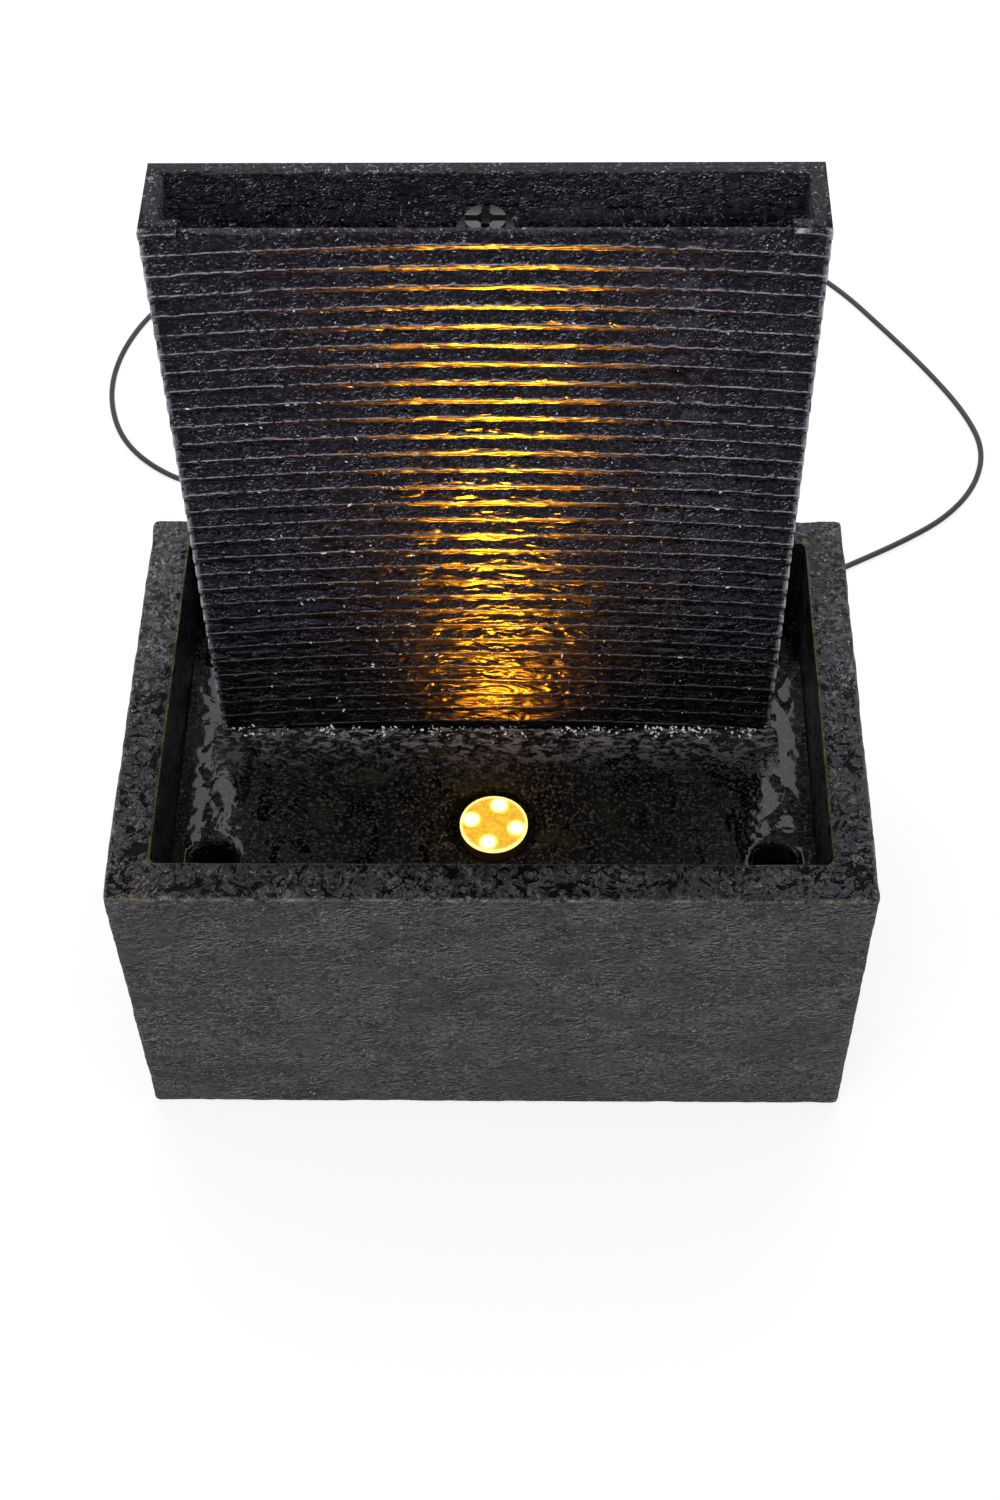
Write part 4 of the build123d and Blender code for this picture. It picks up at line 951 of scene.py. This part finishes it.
drop_finish, tree = new_finish("clear_water")
set_finish(
    tree,
    {
        "Base Color": (0.95, 0.97, 1.0, 1),
        "Transmission Weight": 1.0,
        "IOR": WATER_IOR,
        "Roughness": patches(tree, 700, 0.3, 0.7, 0.01, 0.06),
    },
)
add_drops("rim_drops", rim_drops(RIM_DROPS), "basin", drop_finish)

# %% [markdown]
# Beads on the wall and splashes at its foot show as white flashes where the light meets the water. A
# glassy finish would show the dark stone behind them and vanish, so they get a shiny white one, a painted
# highlight.

# %% Beads on the wall
LIP_BEADS = 520
BEAD_MARGIN = 4 * MM
BEADS_THICKEST_X = -20 * MM
BEAD_PULL = 3.0
STEEPEST_PULL = 0.6


def any_pull(most):
    """A random direction, as long as the square root of how much longer a drop gets along it."""
    spin = draws.uniform(0, 2 * math.pi)
    tilt = draws.uniform(-STEEPEST_PULL, STEEPEST_PULL)
    flat = math.sqrt(1 - tilt**2)
    return Vector((flat * math.cos(spin), flat * math.sin(spin), tilt)) * math.sqrt(draws.uniform(0, most))


def lip_beads(count):
    """Small beads on the wall's front. Two of three sit on the crest of a lip, and the rest anywhere."""
    beads = []
    for index in range(count):
        x = draws.triangular(-half_wall + BEAD_MARGIN, half_wall - BEAD_MARGIN, BEADS_THICKEST_X)
        course = draws.randrange(1, COURSES - 1)
        rise = draws.uniform(0, COURSE) if index % 3 == 0 else LIP_RISE + draws.uniform(-0.6, 0.8) * MM
        centre = Vector((x, wall_low.y + front_depth(x, rise, course), front_height(x, rise, course)))
        radius = (0.22 + 0.5 * draws.random() ** 3) * MM
        beads.append((centre, radius, draws.uniform(0.6, 1.0), any_pull(BEAD_PULL)))
    return beads


# The white of the beads and splashes is a painted highlight.
painted_highlight_finish, tree = new_finish("white_painted_highlight")
set_finish(
    tree,
    {
        "Base Color": blend_colours(tree, grain(tree, 500), (0.72, 0.74, 0.80, 1), (0.96, 0.97, 1.0, 1)),
        "Roughness": patches(tree, 900, 0.3, 0.7, 0.05, 0.2),
    },
)
add_drops("lip_beads", lip_beads(LIP_BEADS), "wall", painted_highlight_finish)

# %% [markdown]
# The water lands all along the foot of the wall, but not evenly. Single splashes drawn one by one would
# make an even row, so whole groups are drawn, each with a few splashes around it. They share the finish
# of the beads.

# %% Splashes at the foot
SPLASH_GROUPS = 75
SPLASH_MARGIN = 12 * MM
SPLASH_SPREAD = 7 * MM
SPLASH_LEAST_REACH = 0.5 * MM
SPLASH_REACH = 5.0 * MM
SPLASH_LIFT = 2.5 * MM
SPLASH_PULL = 1.6


def foot_splashes(groups):
    """White splashes along the foot of the wall, in small groups of unlike size."""
    splashes = []
    for _ in range(groups):
        group_x = draws.uniform(-half_wall + SPLASH_MARGIN, half_wall - SPLASH_MARGIN)
        for _ in range(draws.randrange(1, 8)):
            x = group_x + draws.gauss(0, SPLASH_SPREAD)
            y = wall_low.y - abs(draws.gauss(SPLASH_LEAST_REACH, SPLASH_REACH))
            radius = (0.28 + 0.8 * draws.random() ** 3) * MM
            lift = draws.uniform(0, SPLASH_LIFT)
            centre = Vector((x, y, TRAY_TOP + 0.3 * radius + lift))
            splashes.append((centre, radius, draws.uniform(0.5, 0.9), any_pull(SPLASH_PULL)))
    return splashes


add_drops("foot_splashes", foot_splashes(SPLASH_GROUPS), "tray", painted_highlight_finish)

# %% [markdown]
# ## Light
# Four lamps shine through a round lens that lies flush with the tray. The lens could be clear glass over
# bright bulbs, but that is slow to render and grainy. So the lens itself glows: amber all over, white-hot
# over each lamp and bright along its edge, with a cloudy haze inside.

# %% Glowing lens
GOLD = (1.0, 0.56, 0.045, 1)
WARM_WHITE = (1.0, 0.86, 0.43, 1)
LENS_BODY = (0.03, 0.018, 0.004, 1)
LAMPS = 4
LAMP_CIRCLE_RADIUS = 16 * MM
LAMP_TURN = math.radians(77)
HOT_RADIUS = 9.0 * MM
HOTTEST_RADIUS = 1.5 * MM
HOT_GLOW = 7.5
EDGE_FROM = 20.5 * MM
EDGE_TO = 23 * MM
EDGE_GLOW = 0.7
lens_low, lens_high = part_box("led_lens")
lens_middle = (lens_low + lens_high) / 2
lens_top = Vector((lens_middle.x, lens_middle.y, lens_high.z))
lamp_places = []
for index in range(LAMPS):
    angle = LAMP_TURN + index * 2 * math.pi / LAMPS
    lamp_places.append(lens_top + Vector((math.cos(angle), math.sin(angle), 0)) * LAMP_CIRCLE_RADIUS)

finish, tree = new_finish("glowing_lens")
place = own_place(tree)
hot = 0.0
for lamp in lamp_places:
    away = calculate_vector(tree, "DISTANCE", place, lamp)["Value"]
    close = between(tree, away, HOT_RADIUS, HOTTEST_RADIUS)
    hot = calculate(tree, "ADD", hot, both(tree, close, close))
from_middle = calculate_vector(tree, "DISTANCE", place, lens_top)["Value"]
edge = between(tree, from_middle, EDGE_FROM, EDGE_TO)
haze = grain(tree, 150, distortion=2.0)
glow = calculate(tree, "ADD", both(tree, hot, HOT_GLOW), both(tree, edge, EDGE_GLOW))
whiteness = calculate(tree, "ADD", hot, both(tree, edge, 0.5))
set_finish(
    tree,
    {
        "Base Color": LENS_BODY,
        "Roughness": between(tree, haze, 0.3, 0.7, 0.08, 0.22),
        "Specular IOR Level": 0.15,
        "Emission Color": blend_colours(tree, whiteness, GOLD, WARM_WHITE),
        "Emission Strength": calculate(tree, "ADD", glow, between(tree, haze, 0.35, 0.65, 0.72, 1.05)),
    },
)
dress(nodes["led_lens"], finish)
print(f"lens: glows over {len(lamp_places)} lamps")

# %% [markdown]
# A glowing mesh this small lights the wall with much noise, so real lights just above the lens throw the
# amber up the wall. Each lamp has two spots: a wide one for the wall's foot and a steep narrow one for
# its top. They show only in the wet shine, as a small bright lamp does on dark stone. One weak light
# without shine adds a warm haze around the lens. All of them ride with the tray, as the lamps do.

# %% Amber lights
AMBER = (1.0, 0.34, 0.008, 1)
LAMP_LIFT = Vector((0, 0, 2 * MM))
LAMP_RADIUS = 2.5 * MM
LAMP_POWER = 2.9
LAMP_AIM = Vector((0, 0.7, 0.71))
LAMP_CONE = math.radians(116)
BEAM_POWER = 8.4
BEAM_AIM = Vector((0, 0.2, 0.98))
BEAM_CONE = math.radians(38)
HAZE_LIFT = Vector((0, 0, 24 * MM))
HAZE_RADIUS = 15 * MM
HAZE_POWER = 0.09


def new_light(name, kind, place, power):
    """A light that the camera does not see."""
    data = bpy.data.lights.new(name, kind)
    data.energy = power
    light = new_piece(name, data)
    light.location = place
    light.visible_camera = False
    return light


def aim_light(light, direction):
    light.rotation_euler = direction.to_track_quat("-Z", "Y").to_euler()


def tray_light(name, kind, place, power, colour, radius):
    light = new_light(name, kind, place, power)
    light.data.color = colour[:3]
    light.data.shadow_soft_size = radius
    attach(light, "tray")
    return light


def shine_spot(name, lamp, power, aim, cone):
    """A spot with a soft edge that shows only in shine."""
    light = tray_light(name, "SPOT", lamp + LAMP_LIFT, power, AMBER, LAMP_RADIUS)
    light.data.spot_size = cone
    light.data.spot_blend = 1.0
    light.visible_diffuse = False
    aim_light(light, aim)


for index, lamp in enumerate(lamp_places):
    shine_spot(f"lamp_{index}", lamp, LAMP_POWER, LAMP_AIM, LAMP_CONE)
    shine_spot(f"beam_{index}", lamp, BEAM_POWER, BEAM_AIM, BEAM_CONE)
haze_light = tray_light("lamp_haze", "POINT", lens_middle + HAZE_LIFT, HAZE_POWER, GOLD, HAZE_RADIUS)
haze_light.visible_glossy = False
print(f"light: {2 * len(lamp_places)} spots and a haze of {HAZE_POWER} W")

# %% [markdown]
# ## Power cord
# The cord leaves the back wall, falls to the floor and lies in one wide loop that ends in a two-pin plug
# behind the wall. It could be a mesh swept along a path. A curve with a round section needs only the CAD
# model's own route, in millimetres here, and stays smooth.

# %% Cord's curve
CORD_DIAMETER = 5 * MM
CORD_EXIT = (90, 166, 150)
CORD_FALL = [CORD_EXIT, (90, 190, 150), (91, 214, 141), (93, 232, 120), (96, 242, 90), (102, 249, 57)]
CORD_FALL += [(114, 258, 27), (137, 270, 9), (168, 286, 3)]
CORD_LOOP = [(208, 308), (253, 334), (300, 360), (346, 386), (388, 415), (418, 453), (431, 499), (419, 546)]
CORD_LOOP += [(390, 602), (355, 657), (317, 714), (268, 762), (205, 793), (135, 807), (62, 812), (-12, 811)]
CORD_LOOP += [(-86, 806), (-158, 795), (-228, 773), (-291, 737), (-339, 686), (-364, 626), (-368, 567)]
CORD_LOOP += [(-349, 508), (-305, 466), (-252, 447)]
CORD_END = [(-208, 444), (-166, 450)]
CORD_REST_HEIGHT = 2.6
PLUG_HEIGHT = 7
route = CORD_FALL + [(x, y, CORD_REST_HEIGHT) for x, y in CORD_LOOP]
route += [(x, y, PLUG_HEIGHT) for x, y in CORD_END]

curve = bpy.data.curves.new("power_cord_curve", "CURVE")
curve.dimensions = "3D"
curve.bevel_depth = CORD_DIAMETER / 2
curve.bevel_resolution = 4
curve.resolution_u = 8
curve.use_fill_caps = True
line = curve.splines.new("NURBS")
line.points.add(len(route) - 1)
for point, place in zip(line.points, route):
    point.co = (*(Vector(place) * MM), 1)
line.order_u = 3
line.use_endpoint_u = True
cord = new_piece("power_cord_line", curve)

# %% [markdown]
# The cord's sheath is smooth dark rubber. A flat colour would look like plastic film, so `plain_finish`
# gives a material a slightly uneven tone, shine and surface. The hidden parts use it again.

# %% Cord's sheath
def plain_finish(name, dark, light, roughness, scale=400, height=0.1 * MM, metallic=0.0, stretch=(1, 1, 1)):
    """A plain material with a fine uneven tone, shine and surface."""
    finish, tree = new_finish(name)
    fine = grain(tree, scale, stretch, detail=4)
    broad = grain(tree, scale / 14, stretch, detail=2)
    tone = both(tree, calculate(tree, "ADD", fine, broad), 0.5)
    set_finish(
        tree,
        {
            "Base Color": blend_colours(tree, between(tree, tone, 0.3, 0.7), (*dark, 1), (*light, 1)),
            "Roughness": between(tree, broad, 0.3, 0.7, roughness * 0.8, roughness * 1.2),
            "Metallic": metallic,
            "Normal": bump(tree, fine, distance=height, strength=0.5),
        },
    )
    return finish


sheath = plain_finish("cord_sheath", (0.006, 0.006, 0.007), (0.014, 0.014, 0.015), 0.34, scale=900)
dress(cord, sheath)
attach(cord, "basin")
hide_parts("power_cord")
print(f"cord: dressed in rubber, {CORD_DIAMETER / MM:.0f} mm thick")

# %% [markdown]
# ## Hidden parts
# The pump, hose, light housing and fixings are seen only when the wall or the tray is lifted. They could
# be modelled again with more detail, but their CAD shapes are moulded or turned parts that are smooth in
# life too. So each keeps its shape and gets a plain finish: plastic, rubber, hose, steel, brass, ceramic
# or a lamp's glow.

# %% Finishes for the CAD parts
LAMP_GLOW = 4.0
BRUSHED = (1, 1, 8)
plastic = plain_finish("moulded_plastic", (0.010, 0.010, 0.011), (0.022, 0.022, 0.023), 0.42, scale=700)
rubber = plain_finish("soft_rubber", (0.008, 0.008, 0.008), (0.016, 0.016, 0.016), 0.75, scale=600)
dial_plastic = plain_finish("dial_plastic", (0.10, 0.10, 0.10), (0.15, 0.15, 0.15), 0.45, scale=700)
housing = plain_finish("light_housing", (0.060, 0.034, 0.008), (0.11, 0.062, 0.014), 0.3, scale=500)
hose = plain_finish("grey_hose", (0.10, 0.10, 0.10), (0.16, 0.16, 0.155), 0.3, scale=500)
steel = plain_finish(
    "bright_steel", (0.45, 0.45, 0.46), (0.62, 0.62, 0.63), 0.28, metallic=1.0, stretch=BRUSHED
)
brass = plain_finish("brass_pins", (0.60, 0.48, 0.22), (0.74, 0.60, 0.30), 0.24, metallic=1.0)
ceramic = plain_finish("white_ceramic", (0.74, 0.73, 0.70), (0.84, 0.83, 0.80), 0.2)
magnet = plain_finish("rotor_plastic", (0.012, 0.012, 0.014), (0.045, 0.045, 0.05), 0.4)
board = plain_finish("light_board", (0.60, 0.52, 0.36), (0.78, 0.70, 0.52), 0.5)
panel = plain_finish(
    "cast_panel", (0.010, 0.0094, 0.0105), (0.070, 0.066, 0.071), 0.7, scale=190, height=0.8 * MM
)
lamp_glow = plain_finish("lamp_glow", (0.95, 0.70, 0.30), (1.0, 0.80, 0.42), 0.2)
set_finish(lamp_glow.node_tree, {"Emission Color": WARM_WHITE, "Emission Strength": LAMP_GLOW})
PARTS = {
    plastic: ["pump_body", "pump_volute", "pump_strainer", "spout", "spout_nut", "led_lock_ring"],
    rubber: ["suction_cups", "cord_bush", "drain_plug", "pump_gland", "led_seal", "shaft_bushes"],
    sheath: ["pump_lead", "led_lead", "led_plug", "plug_body"],
    steel: ["cover_screws", "hose_clip_upper", "hose_clip_lower"],
    dial_plastic: ["flow_dial"],
    housing: ["led_housing"],
    hose: ["riser_hose"],
    brass: ["plug_pins"],
    ceramic: ["rotor_shaft"],
    magnet: ["pump_rotor"],
    board: ["led_board"],
    lamp_glow: ["led_domes"],
    panel: ["wall_back_cover"],
}
for finish, names in PARTS.items():
    for name in names:
        dress(nodes[name], finish)
print(f"{sum(len(names) for names in PARTS.values())} CAD parts dressed")

# %% [markdown]
# ## Studio
# The photo is a plain cut-out on white. A white floor under strong light could give that, but the light
# would bleach the stone. So the floor is partly white of itself where it is seen straight on, in a mirror
# or through glass, and only a faint shadow stays on it.

# %% White floor
FLOOR_HALF = 12.0
FLOOR_WHITE = 1.1
FLOOR_WHITE_SHARE = 0.7
WHITE = (1, 1, 1, 1)
scene = bpy.context.scene
scene.view_settings.view_transform = "Standard"


def seen_ray(tree):
    """1 where this is seen straight on, in a mirror or through glass, and 0 for plain lighting."""
    path = add_node(tree, "ShaderNodeLightPath")
    seen = calculate(tree, "MAXIMUM", path["Is Camera Ray"], path["Is Glossy Ray"])
    return calculate(tree, "MAXIMUM", seen, path["Is Transmission Ray"])


floor_mesh = bpy.data.meshes.new("floor")
corners = [(x * FLOOR_HALF, y * FLOOR_HALF, 0) for x, y in ((-1, -1), (1, -1), (1, 1), (-1, 1))]
floor_mesh.from_pydata(corners, [], [(0, 1, 2, 3)])
floor = new_piece("floor", floor_mesh)
floor_finish, tree = new_finish("white_floor")
set_finish(tree, {"Base Color": (0.92, 0.92, 0.92, 1), "Roughness": 0.9, "Specular IOR Level": 0.0})
shadowed = tree.nodes["Principled BSDF"].outputs["BSDF"]
white = add_node(tree, "ShaderNodeEmission", {"Color": WHITE, "Strength": FLOOR_WHITE})["Emission"]
white_share = both(tree, seen_ray(tree), FLOOR_WHITE_SHARE)
pale = add_node(tree, "ShaderNodeMixShader", {0: white_share, 1: shadowed, 2: white})[0]
tree.links.new(pale, tree.nodes["Material Output"].inputs["Surface"])
dress(floor, floor_finish)
print(f"studio: floor of {2 * FLOOR_HALF:.0f} m")

# %% [markdown]
# The world is white too where it is seen. White all round could also light the object, but then a side
# face would be as bright as the top, and the shapes would look flat. So plain lighting meets a sky that
# is pale above and dim near the horizon.

# %% World
SKY_AT_HORIZON = 0.25
SKY_ABOVE = 0.8

world = bpy.data.worlds.new("studio")
scene.world = world
world.use_nodes = True
tree = world.node_tree
direction = add_node(tree, "ShaderNodeTexCoord")["Generated"]
sky = between(tree, along_axes(tree, direction)["Z"], 0.05, 0.75, SKY_AT_HORIZON, SKY_ABOVE)
strength = add_node(tree, "ShaderNodeMix", {0: seen_ray(tree), 2: sky, 3: 1.0})[0]
join_inputs(tree, tree.nodes["Background"].inputs, {"Color": WHITE, "Strength": strength})
print(f"studio: world of {len(tree.nodes)} nodes")

# %% [markdown]
# Wet stone shows the lights as much as its own colour. One large light could do for dry stone, but here
# each soft light has its own place. The wide one behind and above lies in the mirror direction of the
# tray's sides and gives the pale patches of film there. The key at the front left lights the basin, and a
# narrow strip at the front right does for the wall what the wide one does for the tray.

# %% Soft lights
BASIN_MIDDLE = Vector((0, 0, 0.2))
FILM_MIDDLE = Vector((0.13, 0, 0.45))


def soft_light(name, place, aim, width, height, power):
    light = new_light(name, "AREA", place, power)
    light.data.shape = "RECTANGLE"
    light.data.size = width
    light.data.size_y = height
    aim_light(light, aim - Vector(place))


soft_light("back_sky", (0, 1.35, 2.1), BASIN_MIDDLE, width=2.4, height=0.9, power=22)
soft_light("front_key", (-1.1, -2.0, 2.2), BASIN_MIDDLE, width=1.4, height=1.4, power=18)
soft_light("right_strip", (0.30, -2.4, 0.55), FILM_MIDDLE, width=0.16, height=1.0, power=3.0)
print(f"studio: {len(bpy.data.lights)} lights with those of the tray")

# %% [markdown]
# ## Camera
# The camera could be set by eye, but then the edges would not meet the photo's. Its place comes from
# matching the straight edges of the basin and the wall instead: above and in front, looking down by a
# little over fifty degrees, with a small tilt. Its three axes are worked out from those angles and become
# the columns of its matrix.

# %% Camera
EYE = Vector((0.03294, -0.99034, 1.50760))
LENS_MM = 55.72
PITCH = math.radians(52.658)
YAW = math.radians(-1.687)
ROLL = math.radians(-1.208)
forward = Vector((math.sin(YAW) * math.cos(PITCH), math.cos(YAW) * math.cos(PITCH), -math.sin(PITCH)))
level_right = Vector((math.cos(YAW), -math.sin(YAW), 0))
level_up = level_right.cross(forward)
right = math.cos(ROLL) * level_right + math.sin(ROLL) * level_up
up = math.cos(ROLL) * level_up - math.sin(ROLL) * level_right
camera_data = bpy.data.cameras.new("photo_camera")
camera_data.lens = LENS_MM
camera = new_piece("photo_camera", camera_data)
camera.matrix_world = Matrix.Translation(EYE) @ Matrix((right, up, -forward)).transposed().to_4x4()
scene.camera = camera
print(f"camera: {LENS_MM} mm lens, {math.degrees(PITCH):.1f} degrees down")
